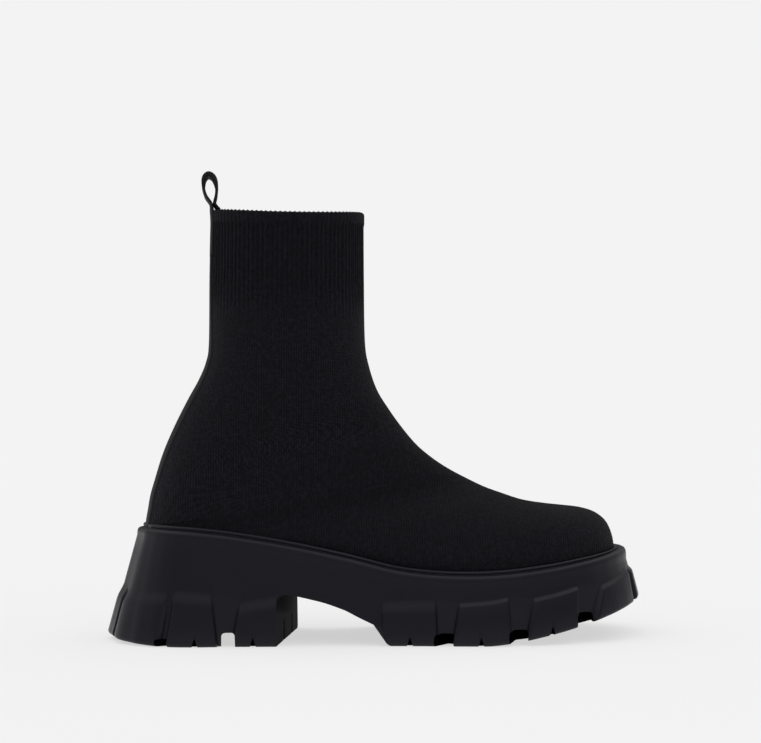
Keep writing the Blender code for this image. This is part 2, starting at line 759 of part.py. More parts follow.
def make_back_strip(collection, material):
    """The strip over the back seam, from below the loop's tail to the sole's rim."""
    along, across = 22, 6
    top = COLLAR_HEIGHT - TAPE_TAIL - 2 * GAP
    bottom = edge_height(0.0) + 3 * GAP
    points = []
    for step in range(along + 1):
        height = top + (bottom - top) * step / along
        place = place_at_back(height)
        section = section_at(place)
        half = strip_half_width(height)
        for index in range(across + 1):
            y = section["swing"] + half * (2 * index / across - 1)
            angle = back_angle(section, y)
            normal = surface_normal(place, angle)
            points.append(section_point(section, angle) + normal * (GAP + STRIP_THICKNESS))
    width = across + 1
    faces = []
    for step in range(along):
        for index in range(across):
            near = step * width + index
            faces.append((near, near + 1, near + width + 1, near + width))
    strip = add_object("back_strip", points, faces, collection, material)
    if sum(face.normal.x for face in strip.data.polygons) > 0:
        strip.data.flip_normals()
    solidify(strip, STRIP_THICKNESS, -1.0)
    return strip


def make_pull_loop(collection, material):
    """The folded tape: a tail inside the collar, the loop, and a tail outside it."""
    across = 6
    off_wall = GAP + TAPE_THICKNESS / 2
    path = []
    tail_steps = 4
    for step in range(tail_steps + 1):
        height = COLLAR_HEIGHT - TAPE_TAIL * (1 - step / tail_steps)
        path.append((height, -(UPPER_WALL + GAP + off_wall), 1.0))
    for row in table(LOOP_COLUMNS, LOOP_ROWS):
        curl = max(0.0, 1 - row["up"] / LOOP_FLAT)
        path.append((COLLAR_HEIGHT + row["up"] * LOOP_HEIGHT, row["out"] * LOOP_HEIGHT, curl))
    for step in range(tail_steps + 1):
        height = COLLAR_HEIGHT - TAPE_TAIL * step / tail_steps
        path.append((height, HEM_STEP + off_wall, 1.0))
    detail = 2
    points = []
    for index in range((len(path) - 1) * detail + 1):
        height, out, curl = (smooth([spot[key] for spot in path], index / detail) for key in range(3))
        section = section_at(place_at_back(min(height, COLLAR_HEIGHT)))
        for step in range(across + 1):
            y = TAPE_WIDTH * (step / across - 0.5)
            wall = section_point(section, back_angle(section, y)).x - section["back_x"]
            points.append((section["back_x"] + wall * curl - out, y, height))
    width = across + 1
    faces = []
    for index in range(len(points) // width - 1):
        for step in range(across):
            near = index * width + step
            faces.append((near, near + 1, near + width + 1, near + width))
    loop = add_object("pull_loop", points, faces, collection, material)
    solidify(loop, TAPE_THICKNESS, 0.0)
    return loop


def stand_on_origin(pieces, cutters):
    """Moves everything level, so that the origin is under the middle of the boot's box."""
    bpy.context.view_layer.update()
    graph = bpy.context.evaluated_depsgraph_get()
    corners = []
    for piece in pieces:
        mesh = piece.evaluated_get(graph).to_mesh()
        corners += [vertex.co.copy() for vertex in mesh.vertices]
    middle_x = (min(c.x for c in corners) + max(c.x for c in corners)) / 2
    middle_y = (min(c.y for c in corners) + max(c.y for c in corners)) / 2
    for thing in [*pieces, *cutters.objects]:
        thing.data.transform(Matrix.Translation((-middle_x, -middle_y, 0.0)))


for old in list(bpy.data.objects):
    bpy.data.objects.remove(old, do_unlink=True)
boot = bpy.data.collections.new("sock boot")
cutting = bpy.data.collections.new("cutters")
bpy.context.scene.collection.children.link(boot)
bpy.context.scene.collection.children.link(cutting)
knit = new_material("black fine knit", (0.008, 0.008, 0.010), 0.90)
rubber = new_material("black moulded rubber", (0.012, 0.012, 0.014), 0.55)
smooth_strip = new_material("black coated strip", (0.014, 0.014, 0.016), 0.45)
tape = new_material("black woven tape", (0.010, 0.010, 0.012), 0.75)
lining = new_material("black textile insole", (0.010, 0.010, 0.011), 0.90)
pieces = [
    make_upper(boot, cutting, knit),
    make_sole(boot, cutting, rubber),
    make_insole(boot, lining),
    make_back_strip(boot, smooth_strip),
    make_pull_loop(boot, tape),
]
stand_on_origin(pieces, cutting)
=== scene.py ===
"""Looks of a black knitted sock boot on a chunky moulded platform sole, right foot.

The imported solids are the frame: metres, +X to the toe, -Y to the outer side, +Z up. Each
soft or moulded piece is drawn here again, finer, from the same sizes as the solids.
"""
import math

import bmesh
import bpy
import numpy as np
from mathutils import Matrix, Vector


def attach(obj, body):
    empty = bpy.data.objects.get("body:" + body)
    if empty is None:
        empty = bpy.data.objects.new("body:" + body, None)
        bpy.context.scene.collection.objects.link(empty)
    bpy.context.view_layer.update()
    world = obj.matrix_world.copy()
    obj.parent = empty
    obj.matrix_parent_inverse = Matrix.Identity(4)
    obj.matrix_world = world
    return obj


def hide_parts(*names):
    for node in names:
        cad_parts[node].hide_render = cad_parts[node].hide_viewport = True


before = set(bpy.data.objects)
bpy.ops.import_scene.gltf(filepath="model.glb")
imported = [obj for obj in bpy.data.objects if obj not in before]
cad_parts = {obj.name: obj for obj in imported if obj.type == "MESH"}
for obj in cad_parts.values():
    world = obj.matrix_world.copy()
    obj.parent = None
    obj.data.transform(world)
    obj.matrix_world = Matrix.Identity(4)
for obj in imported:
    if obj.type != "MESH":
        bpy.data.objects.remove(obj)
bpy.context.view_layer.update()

# Camera: a long lens a metre away on the boot's outer side, a little behind its
# middle and turned to the toe, at half the boot's height and tipped up slightly.
CAMERA_PLACE = (-0.0843, -0.9970, 0.1250)
CAMERA_TURN = 5.0  # degrees towards the toe
CAMERA_TILT = 1.27  # degrees up
CAMERA_LENS = 84.5
CAMERA_SENSOR = 36.0


def new_object(name, data):
    """An object in the scene."""
    made = bpy.data.objects.new(name, data)
    bpy.context.scene.collection.objects.link(made)
    return made


camera_data = bpy.data.cameras.new("camera")
camera_data.lens = CAMERA_LENS
camera_data.sensor_width = CAMERA_SENSOR
camera = new_object("camera", camera_data)
camera.location = CAMERA_PLACE
camera.rotation_euler = (math.radians(90 + CAMERA_TILT), 0.0, -math.radians(CAMERA_TURN))
bpy.context.scene.camera = camera
bpy.context.scene.view_settings.view_transform = "Standard"

# Studio: a light table of white acrylic that runs out to the horizon, lit from
# below, under a light tent that is brightest overhead and at its two ends.
TABLE_SIZE = 30.0
TABLE_COLOUR = "#A0A0A0"
TABLE_LIGHT = 0.60
TENT_COLOUR = "#FFFFFF"
BACKGROUND_COLOUR = "#F3F3F3"
TENT_BASE = 0.12
# Softboxes of the tent: direction, cosines at which a box fades in and is full, strength
SOFTBOXES = (
    ((0.00, -0.20, 1.00), 0.35, 0.95, 1.07),
    ((-1.00, 0.35, 0.35), 0.55, 0.95, 0.45),
    ((1.00, 0.45, 0.45), 0.55, 0.95, 0.37),
)


def linear(code):
    """A linear colour with alpha from an sRGB hex code."""
    parts = [int(code[index:index + 2], 16) / 255 for index in (1, 3, 5)]
    return (*[p / 12.92 if p <= 0.04045 else ((p + 0.055) / 1.055) ** 2.4 for p in parts], 1.0)


def set_inputs(tree, node, inputs):
    """Gives each named input of a node a value, or a link from a socket or a node's first output."""
    for name, value in inputs.items():
        if isinstance(value, bpy.types.Node):
            value = value.outputs[0]
        if isinstance(value, bpy.types.NodeSocket):
            tree.links.new(value, node.inputs[name])
        else:
            node.inputs[name].default_value = value


def add_node(tree, kind, inputs, **settings):
    """Adds a shader node with its inputs and its properties."""
    added = tree.nodes.new(f"ShaderNode{kind}")
    for name, value in settings.items():
        setattr(added, name, value)
    set_inputs(tree, added, inputs)
    return added


def new_material(name):
    """A material that is made of nodes."""
    material = bpy.data.materials.new(name)
    material.use_nodes = True
    return material


def set_shader(material, inputs):
    """Gives a material's Principled shader its values and links."""
    set_inputs(material.node_tree, material.node_tree.nodes["Principled BSDF"], inputs)


world = bpy.data.worlds.new("light tent")
world.use_nodes = True
bpy.context.scene.world = world
tent = world.node_tree
tent.nodes.clear()
way = add_node(tent, "TexCoord", {}).outputs["Generated"]
strength = add_node(tent, "Value", {})
strength.outputs[0].default_value = TENT_BASE
for direction, fade, full, power in SOFTBOXES:
    aim = Vector(direction).normalized()
    facing = add_node(tent, "VectorMath", {0: way, 1: aim}, operation="DOT_PRODUCT")
    box = add_node(tent, "MapRange", {
        "Value": facing.outputs["Value"], "From Min": fade, "From Max": full, "To Max": power},
        interpolation_type="SMOOTHSTEP")
    strength = add_node(tent, "Math", {0: strength, 1: box}, operation="ADD")
inside = add_node(tent, "Background", {"Color": linear(TENT_COLOUR), "Strength": strength})
behind = add_node(tent, "Background", {"Color": linear(BACKGROUND_COLOUR)})
seen = add_node(tent, "LightPath", {}).outputs["Is Camera Ray"]
either = add_node(tent, "MixShader", {0: seen, 1: inside, 2: behind})
add_node(tent, "OutputWorld", {"Surface": either})

table_mesh = bpy.data.meshes.new("light_table")
ends = (-TABLE_SIZE / 2, TABLE_SIZE / 2)
table_mesh.from_pydata([(x, y, 0) for x in ends for y in ends], [], [(0, 2, 3, 1)])
light_table = new_object("light_table", table_mesh)
# Opal acrylic with lamps under it: it glows evenly, so that shadows on it stay pale.
acrylic = new_material("opal acrylic, lit from below")
set_shader(acrylic, {
    "Base Color": linear(TABLE_COLOUR), "Roughness": 1.0, "Specular IOR Level": 0.0,
    "Emission Color": (1.0, 1.0, 1.0, 1.0), "Emission Strength": TABLE_LIGHT})
table_mesh.materials.append(acrylic)

# Knitted upper: a sock of fine black stretch yarn, knitted in one tube. The cuff
# is a rib with a turned hem, and below it the knit is plain down to the sole.
UPPER_LENGTH = 0.2620
BALL_WIDTH = 0.0890
HEEL_WIDTH = 0.0640
TOE_HEIGHT = 0.0327
COLLAR_HEIGHT = 0.2360
SHAFT_DEPTH = 0.0850
SHAFT_WIDTH = 0.0680
SHAFT_SETBACK = 0.0347
UPPER_WALL = 0.0020
HEM_HEIGHT = 0.0056
HEM_STEP = 0.0004
HEM_EDGE = 0.0006  # half the width of the step under the hem
HEM_INSIDE = (2.2, 1.6, 1.0, 0.5)  # rows of the cloth inside the collar, in hem heights
COLLAR_DIP = 0.0027
SKIRT = 0.0110
HEEL_SEAT = 0.0636
PLATFORM = 0.0393
TOE_LIFT = 0.0099
# Where the solids' own measure starts in the frame: the heel curve, and the middle line
HEEL_CURVE = Vector((-0.12650, -0.00122, 0.0))
RIBS = 92  # round the collar, 2.7 mm apart
RIB_RELIEF = 0.00042
HEM_RIBS = 0.25  # share of the ribs' relief that is left on the hem
SCALLOP = 0.22  # how much the ribs wave the turned edge, a share of its roll
CUFF_LENGTH = 0.066  # collar to the end of the ribs
CUFF_FADE = 0.030
TUCK = 0.0016  # how far the knit runs down behind the sole's rim
HALF_COLUMNS = 276
KNIT_ROW = 0.0023
RING_SAMPLES = 361  # points that a section is measured at
PLACE_SAMPLES = 441  # sections that the tube is measured at
PLACE_COLUMNS = 12  # steps round half of each of them
EDGE_SAMPLES = 1200
MERGE_DISTANCE = 2e-6
TIP_MARGIN = 0.003  # how far before the tip the cloth ends, counted in sections
WALE = 0.00135  # stitch width of the plain knit, 0.9 mm drawn half as wide again
COURSE = 0.00115  # stitch height, drawn coarser likewise
WALES_TURN = (5.0, 10.0)  # sections between which the wales turn from shaft to foot
ANKLE_RUN = 0.20  # cloth from the collar to the sole's edge at the ankle
FUZZ_CLUMP = 0.0019  # clumps of fuzz, half a millimetre really, drawn coarser to show
# Valley: painted shade for the stitches' hollows. Crest: the yarn's own colour.
KNIT_VALLEY_SHADE = "#030304"
KNIT_CREST = "#1A1822"

# Soft creases of the worn-in cloth, seen from the side: points of the middle line, along as
# shares of the upper's length and up of the collar's height, then width and depth in metres
# and the side that shows it, -1 outer, 1 inner, 0 both
CREASES = (
    (((0.500, 0.600), (0.430, 0.575), (0.350, 0.570)), 0.0042, 0.00055, 0),
    (((0.545, 0.525), (0.470, 0.488), (0.390, 0.478), (0.310, 0.490)), 0.0050, 0.00070, 0),
    (((0.600, 0.455), (0.530, 0.415), (0.460, 0.402)), 0.0045, 0.00050, -1),
    (((0.590, 0.470), (0.510, 0.425), (0.430, 0.420)), 0.0048, 0.00055, 1),
    (((0.075, 0.560), (0.140, 0.535), (0.215, 0.545)), 0.0046, 0.00045, 0),
    (((0.735, 0.325), (0.690, 0.275), (0.665, 0.225)), 0.0056, 0.00050, -1),
    (((0.790, 0.310), (0.765, 0.265), (0.745, 0.225)), 0.0054, 0.00040, -1),
    (((0.760, 0.320), (0.715, 0.270), (0.690, 0.225)), 0.0056, 0.00050, 1),
)

CREASE_START = (0.004, 0.024)  # off the middle line, where a crease fades in and is full
CREASE_SIDE = (-0.012, 0.004)  # the same for a crease of one side
CREASE_RIDGE = 0.35  # the low ridge along its edges, a share of its depth
CREASE_SPREAD = 2.2  # how wide the ridge reaches, in widths

# Sections of the shaft from the collar down, fanning round the ankle. Front and back as shares
# of the shaft's depth and setback, heights as shares of the shaft's rise over the heel's seat.
SHAFT_ROWS = (
    (1.000, 0.995, 1.012, 1.000, 1.000, 2.20, 0.50),
    (1.002, 0.792, 0.994, 0.792, 0.995, 2.20, 0.50),
    (1.009, 0.583, 0.986, 0.577, 0.980, 2.20, 0.50),
    (1.035, 0.503, 0.940, 0.513, 0.968, 2.18, 0.52),
    (1.088, 0.426, 0.824, 0.455, 0.957, 2.16, 0.56),
    (1.164, 0.365, 0.666, 0.397, 0.959, 2.14, 0.61),
    (1.247, 0.308, 0.464, 0.316, 0.968, 2.12, 0.67),
    (1.346, 0.250, 0.277, 0.229, 0.982, 2.10, 0.73),
    (1.446, 0.208, 0.141, 0.142, 0.993, 2.08, 0.78),
    (1.552, 0.173, 0.040, 0.060, 1.003, 2.06, 0.81),
    (1.669, 0.142, 0.004, -0.060, 1.010, 2.06, 0.82),
)
# Sections of the foot on to the toe. Front and back as shares of the upper's length, height of
# the toe's, width and inward swing of the ball's; under is how far they go below the edge.
FOOT_ROWS = (
    (0.7141, 1.336, 0.060, 1.00, 0.715, -0.010, 2.10, 0.79),
    (0.7523, 1.223, 0.250, 1.00, 0.745, -0.035, 2.20, 0.73),
    (0.7962, 1.110, 0.453, 1.00, 0.840, -0.045, 2.30, 0.70),
    (0.8458, 1.043, 0.644, 1.00, 0.985, -0.020, 2.45, 0.69),
    (0.8897, 1.000, 0.789, 1.00, 1.000, 0.030, 2.50, 0.70),
    (0.9279, 0.960, 0.872, 1.00, 0.920, 0.062, 2.50, 0.70),
    (0.9561, 0.893, 0.920, 0.95, 0.800, 0.078, 2.45, 0.68),
    (0.9779, 0.770, 0.948, 0.90, 0.670, 0.089, 2.40, 0.66),
    (0.9889, 0.633, 0.966, 0.85, 0.545, 0.096, 2.30, 0.62),
    (0.9954, 0.495, 0.980, 0.80, 0.420, 0.101, 2.20, 0.58),
    (1.0000, 0.303, 0.990, 0.75, 0.270, 0.105, 2.10, 0.54),
    (1.0015, 0.130, 0.996, 0.75, 0.110, 0.107, 2.00, 0.50),
)
# The edge between upper and sole: how much of the heel's seat and of the toe's lift it has
EDGE_ROWS = (
    (-0.060, 1.010, 0.00),
    (0.028, 0.995, 0.00),
    (0.111, 0.950, 0.00),
    (0.213, 0.810, 0.00),
    (0.315, 0.612, 0.00),
    (0.418, 0.370, 0.00),
    (0.519, 0.105, 0.00),
    (0.620, 0.000, 0.00),
    (0.723, 0.000, 0.04),
    (0.830, 0.000, 0.33),
    (0.925, 0.000, 0.70),
    (1.000, 0.000, 1.00),
    (1.080, 0.000, 1.32),
)


def smooth(values, place):
    """A smooth curve through evenly spaced values, read at a place counted in rows."""
    last = len(values) - 1
    low = max(0, min(last - 1, int(math.floor(place))))
    part = place - low
    start, end = values[low], values[low + 1]
    before = values[low - 1] if low else 2 * start - end
    after = values[low + 2] if low + 2 <= last else 2 * end - start
    turn_in = (end - before) / 2
    turn_out = (after - start) / 2
    bend = 3 * (end - start) - 2 * turn_in - turn_out
    twist = 2 * (start - end) + turn_in + turn_out
    return start + part * (turn_in + part * (bend + part * twist))


EDGES = np.array(EDGE_ROWS)


def edge_height(x):
    """Height of the edge between upper and sole, x metres forward of the heel curve."""
    place = np.interp(x / UPPER_LENGTH, EDGES[:, 0], range(len(EDGES)))
    heel, toe = smooth(EDGES[:, 1:], place)
    return PLATFORM + heel * (HEEL_SEAT - PLATFORM) + toe * TOE_LIFT


EDGE_SPOTS = np.linspace(EDGES[0, 0], EDGES[-1, 0], EDGE_SAMPLES) * UPPER_LENGTH
EDGE_LEVELS = np.array([edge_height(x) for x in EDGE_SPOTS])


def edge_heights(x):
    """edge_height for an array."""
    return np.interp(x, EDGE_SPOTS, EDGE_LEVELS)


def section_rows():
    """The upper's sections in metres, from the collar to the toe."""
    sections = []
    rise = COLLAR_HEIGHT - HEEL_SEAT
    for front, front_up, back, back_up, wide, full, widest in SHAFT_ROWS:
        heel_share = min(1.0, max(0.0, 1.0 - back))
        sections.append({
            "front_x": SHAFT_SETBACK + front * SHAFT_DEPTH,
            "front_z": HEEL_SEAT + front_up * rise,
            "back_x": back * SHAFT_SETBACK,
            "back_z": HEEL_SEAT + back_up * rise,
            "half": wide * (SHAFT_WIDTH + heel_share * (HEEL_WIDTH - SHAFT_WIDTH)) / 2,
            "swing": 0.0, "full": full, "widest": widest, "dip": 0.0})
    sections[0]["dip"] = COLLAR_DIP
    for front, front_up, back, under, wide, swing, full, widest in FOOT_ROWS:
        sections.append({
            "front_x": front * UPPER_LENGTH,
            "front_z": PLATFORM + front_up * TOE_HEIGHT,
            "back_x": back * UPPER_LENGTH,
            "back_z": edge_height(back * UPPER_LENGTH) - under * SKIRT,
            "half": wide * BALL_WIDTH / 2,
            "swing": swing * BALL_WIDTH, "full": full, "widest": widest, "dip": 0.0})
    return sections


SECTIONS = section_rows()
LAST_SECTION = len(SECTIONS) - 1


def section_at(place):
    """The upper's section at a place counted in rows of the tables."""
    return {name: smooth([row[name] for row in SECTIONS], place) for name in SECTIONS[0]}


def section_points(section, angles):
    """Points of a section, 0 at the front or top, pi at the back, below pi on the outer side."""
    turn = np.cos(angles)
    widest = section["widest"]
    share = np.where(turn > 0, widest * (1 - turn), widest - (1 - widest) * turn)
    side = np.sin(angles)
    bulge = section["half"] * np.sign(side) * np.abs(side) ** (2 / section["full"])
    x = section["front_x"] + share * (section["back_x"] - section["front_x"])
    z = section["front_z"] + share * (section["back_z"] - section["front_z"])
    return np.stack([x, section["swing"] - bulge, z - section["dip"] * side ** 2], axis=-1)


def distances(points, axis):
    """Running lengths along one axis of a line or grid of points."""
    steps = np.linalg.norm(np.diff(points, axis=axis), axis=-1)
    start = np.zeros_like(np.take(steps, [0], axis=axis))
    return np.concatenate([start, np.cumsum(steps, axis=axis)], axis=axis)


def open_ring(place, half_columns, under):
    """A section's points evenly along its curve, cut off under the sole's edge."""
    section = section_at(place)
    angles = np.linspace(0.0, math.pi, RING_SAMPLES)
    points = section_points(section, angles)
    over = points[:, 2] - edge_heights(points[:, 0]) + under
    below = np.nonzero(over < 0)[0]
    if len(below):
        first = below[0]
        if first == 0:
            return None
        share = over[first - 1] / (over[first - 1] - over[first])
        end = angles[first - 1] + share * (angles[first] - angles[first - 1])
        angles = np.linspace(0.0, end, RING_SAMPLES)
    run = distances(section_points(section, angles), 0)
    even = np.interp(np.linspace(0.0, run[-1], half_columns + 1), run, angles)
    return section_points(section, np.concatenate([-even[:0:-1], even]))


def turning_place(low, high, holds):
    """The place between low and high up to which a condition holds."""
    for _ in range(50):
        middle = (low + high) / 2
        if holds(middle):
            low = middle
        else:
            high = middle
    return (low + high) / 2


def over_edge(place, which):
    """How far a section's front or back stands over the sole's edge."""
    section = section_at(place)
    return section[f"{which}_z"] - edge_height(section[f"{which}_x"])


def last_open_place(under):
    """Just before the last section whose front is still above the sole's edge, or under it."""
    end = turning_place(len(SHAFT_ROWS), LAST_SECTION, lambda place: over_edge(place, "front") > -under)
    return end - TIP_MARGIN


def even_places(start, end, spacing, under):
    """Places whose open sections lie about evenly spaced along the tube."""
    places = np.linspace(start, end, PLACE_SAMPLES)
    run = distances(np.array([open_ring(place, PLACE_COLUMNS, under) for place in places]), 0).mean(axis=1)
    count = int(round(run[-1] / spacing))
    return np.interp(np.linspace(0.0, run[-1], count + 1), run, places)


def unit(vectors):
    """The same directions at length 1."""
    return vectors / np.maximum(np.linalg.norm(vectors, axis=-1, keepdims=True), 1e-12)


def grid_normals(grid):
    """Outward normals of a grid of points, rows down the tube and columns round it."""
    return unit(np.cross(np.gradient(grid, axis=1), np.gradient(grid, axis=0)))


def eased(value, start, end):
    """A smooth step from 0 at start to 1 at end, for numbers and arrays."""
    share = np.clip((value - start) / (end - start), 0.0, 1.0)
    return share * share * (3 - 2 * share)


def grid_object(name, grid, uvs, material, closed=False):
    """A smooth mesh object from a grid of points, with a UV layer in metres."""
    index = np.arange(grid.shape[0] * grid.shape[1]).reshape(grid.shape[:2])
    if closed:
        index = np.hstack([index, index[:, :1]])
    corners = np.stack([index[:-1, :-1], index[:-1, 1:], index[1:, 1:], index[1:, :-1]], axis=-1)
    corners = corners.reshape(-1, 4)
    mesh = bpy.data.meshes.new(name)
    points = grid.reshape(-1, 3) + np.array(HEEL_CURVE)
    mesh.from_pydata(points.tolist(), [], corners.tolist())
    layer = mesh.uv_layers.new(name="cloth")
    layer.data.foreach_set("uv", uvs.reshape(-1, 2)[corners.ravel()].astype(np.float32).ravel())
    edit = bmesh.new()
    edit.from_mesh(mesh)
    bmesh.ops.remove_doubles(edit, verts=edit.verts, dist=MERGE_DISTANCE)
    edit.to_mesh(mesh)
    edit.free()
    mesh.shade_smooth()
    mesh.materials.append(material)
    return new_object(name, mesh)


def crease_depth(grid):
    """How deep the creases press each point of a grid, with a low ridge along each edge."""
    depth = np.zeros(grid.shape[:2])
    flat = grid[:, :, [0, 2]]
    for path, width, deep, side in CREASES:
        spots = np.array(path) * (UPPER_LENGTH, COLLAR_HEIGHT)
        nearest = np.full(depth.shape, 1.0)
        for start, end in zip(spots, spots[1:]):
            run = end - start
            share = np.clip(((flat - start) @ run) / (run @ run), 0.0, 1.0)
            away = np.linalg.norm(flat - start - share[:, :, None] * run, axis=2)
            nearest = np.minimum(nearest, away)
        off = nearest / width
        shown = eased(np.abs(grid[:, :, 1]), *CREASE_START)
        if side:
            shown = shown * eased(side * grid[:, :, 1], *CREASE_SIDE)
        trough = (1 + CREASE_RIDGE) * np.exp(-off ** 2)
        ridge = CREASE_RIDGE * np.exp(-(off / CREASE_SPREAD) ** 2)
        depth += deep * shown * (trough - ridge)
    return depth


# Dyed polyester and elastane yarn, knitted fine: matt, with a faint fuzz that lifts the edges, and rows of
# small V stitches. The colour is painted darker in the stitches' valleys as shade, and a noise mottles it
# at random.
knit = new_material("black fine knit of stretch yarn")
knit_tree = knit.node_tree
knit_axes = add_node(knit_tree, "SeparateXYZ", {0: add_node(knit_tree, "UVMap", {}, uv_map="cloth")})
across = add_node(knit_tree, "Math", {0: knit_axes.outputs["X"], 1: WALE}, operation="DIVIDE")
down = add_node(knit_tree, "Math", {0: knit_axes.outputs["Y"], 1: COURSE}, operation="DIVIDE")
wale = add_node(knit_tree, "Math", {0: across, 1: 0.5}, operation="PINGPONG")
slant = add_node(knit_tree, "Math", {0: down, 1: wale}, operation="ADD")
turns = add_node(knit_tree, "Math", {0: slant, 1: 2 * math.pi}, operation="MULTIPLY")
stitch = add_node(knit_tree, "Math", {0: turns}, operation="SINE")
crown = add_node(knit_tree, "MapRange", {
    "Value": wale, "From Max": 0.4}, interpolation_type="SMOOTHSTEP")
legs = add_node(knit_tree, "MapRange", {"Value": stitch, "From Min": -1.0, "To Min": 0.15})
relief = add_node(knit_tree, "Math", {0: crown, 1: legs}, operation="MULTIPLY")
fuzz = add_node(knit_tree, "TexNoise", {
    "Vector": add_node(knit_tree, "TexCoord", {}).outputs["Object"],
    "Scale": 1 / FUZZ_CLUMP, "Detail": 3.0, "Roughness": 0.7})
mottled = add_node(knit_tree, "MapRange", {
    "Value": fuzz, "From Min": 0.32, "From Max": 0.68, "To Min": -0.45, "To Max": 0.5})
fuzzed = add_node(knit_tree, "Math", {0: mottled, 1: relief}, operation="ADD", use_clamp=True)
knit_bump = add_node(knit_tree, "Bump", {"Strength": 0.8, "Distance": 0.0004, "Height": fuzzed})
# Painted shade: the colour goes dark where the stitch relief is low, with a random mottle added
knit_mottle_and_shade = add_node(knit_tree, "Mix", {
    0: fuzzed, 6: linear(KNIT_VALLEY_SHADE), 7: linear(KNIT_CREST)}, data_type="RGBA")
set_shader(knit, {
    "Base Color": knit_mottle_and_shade.outputs[2], "Normal": knit_bump, "Roughness": 0.85,
    "IOR": 1.5, "Specular IOR Level": 0.15, "Sheen Weight": 0.012, "Sheen Roughness": 0.6})

knit_places = even_places(0.0, last_open_place(TUCK), KNIT_ROW, TUCK)
knit_grid = np.array([open_ring(place, HALF_COLUMNS, TUCK) for place in knit_places])
# How far each point is below the collar and round the tube, for the ribs and the hem
drop = distances(knit_grid, 0)
round_share = np.linspace(-0.5, 0.5, 2 * HALF_COLUMNS + 1)[None, :]
rib = np.cos(2 * math.pi * RIBS * round_share)
in_cuff = 1 - eased(drop, CUFF_LENGTH - CUFF_FADE, CUFF_LENGTH)
under_hem = eased(drop, HEM_HEIGHT - HEM_EDGE, HEM_HEIGHT + HEM_EDGE)
lift = RIB_RELIEF * (rib - 1) * in_cuff * (HEM_RIBS + (1 - HEM_RIBS) * under_hem)
lift += HEM_STEP * (1 - under_hem)
lift -= crease_depth(knit_grid)
knit_grid = knit_grid + grid_normals(knit_grid) * lift[:, :, None]
# The turned edge: over the top in a half circle and down inside the collar
hem_normals = grid_normals(knit_grid)[0]
hem_normals[:, 2] = 0.0
hem_normals = unit(hem_normals)
roll = (UPPER_WALL + HEM_STEP) / 2
knit_grid[:, :, 2] -= roll * np.clip(1 - drop / (3 * HEM_HEIGHT), 0.0, 1.0)
hem_rows = []
for depth in HEM_INSIDE:
    inner = knit_grid[0] - hem_normals * 2 * roll
    inner[:, 2] -= depth * HEM_HEIGHT
    hem_rows.append(inner)
for turned in np.linspace(math.pi, 0.0, 8)[:-1]:
    over = knit_grid[0] - hem_normals * roll * (1 - math.cos(turned))
    over[:, 2] += roll * math.sin(turned) * (1 + SCALLOP * rib[0])
    hem_rows.append(over)
whole_grid = np.concatenate([np.array(hem_rows), knit_grid])
# The wales run down the shaft and stand upright on the foot's sides. So across them the
# cloth is measured round the shaft, and along the foot further down.
run_down = distances(whole_grid, 0)
run_round = distances(whole_grid, 1)
front = run_round[:, [HALF_COLUMNS]]
from_front = np.abs(run_round - front)
sides = [HALF_COLUMNS // 2, HALF_COLUMNS + HALF_COLUMNS // 2]
side_x = whole_grid[:, sides, 0].mean(axis=1, keepdims=True)
side_arc = from_front[:, sides].mean(axis=1, keepdims=True)
on_foot = eased(np.concatenate([np.zeros(len(hem_rows)), knit_places]), *WALES_TURN)[:, None]
wale_run = (1 - on_foot) * (side_x + side_arc - from_front) + on_foot * whole_grid[:, :, 0]
edge_arc = np.maximum(from_front[:, [0]], from_front[:, [-1]]) - from_front
course_run = (1 - on_foot) * run_down.mean(axis=1, keepdims=True) + on_foot * (ANKLE_RUN - edge_arc)
knit_uvs = np.stack([wale_run, course_run], axis=-1)
knit_upper = grid_object("knit_upper", whole_grid, knit_uvs, knit)
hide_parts("upper")
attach(knit_upper, "root")

# Lining: a brushed textile bonded inside the knit, one wall's thickness in from its face.
# It shows only through the collar.
LINING_NAP = 0.0007  # tufts of a quarter millimetre, drawn coarser to show
LINING_COLOUR = "#141416"
LINING_ROW = 0.004
LINING_HALF_COLUMNS = 48
LINING_TOP = 0.07  # where it starts, counted in sections
LINING_END = 0.001  # how far over the sole's edge it ends
RELIEF_RISE = 0.0002


def fine_relief(material, size, detail, strength):
    """Shallow bumps of a real size for a material's fine surface, as a normal."""
    tree = material.node_tree
    noise = add_node(tree, "TexNoise", {
        "Vector": add_node(tree, "TexCoord", {}).outputs["Object"],
        "Scale": 1 / size, "Detail": detail})
    return add_node(tree, "Bump", {
        "Strength": strength, "Distance": RELIEF_RISE, "Height": noise})


# Brushed polyester: its raised fibres take all shine away and leave a faint bloom.
lining = new_material("black brushed textile lining")
set_shader(lining, {
    "Base Color": linear(LINING_COLOUR), "Roughness": 0.95, "Sheen Weight": 0.08,
    "Normal": fine_relief(lining, LINING_NAP, 4.0, 0.5)})

lining_places = even_places(LINING_TOP, last_open_place(-LINING_END), LINING_ROW, -LINING_END)
lining_grid = np.array(
    [open_ring(place, LINING_HALF_COLUMNS, -LINING_END) for place in lining_places])
lining_grid = lining_grid - grid_normals(lining_grid) * UPPER_WALL
lining_uvs = np.stack([distances(lining_grid, 1), distances(lining_grid, 0)], axis=-1)
sock_lining = grid_object("sock_lining", lining_grid, lining_uvs, lining)
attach(sock_lining, "root")

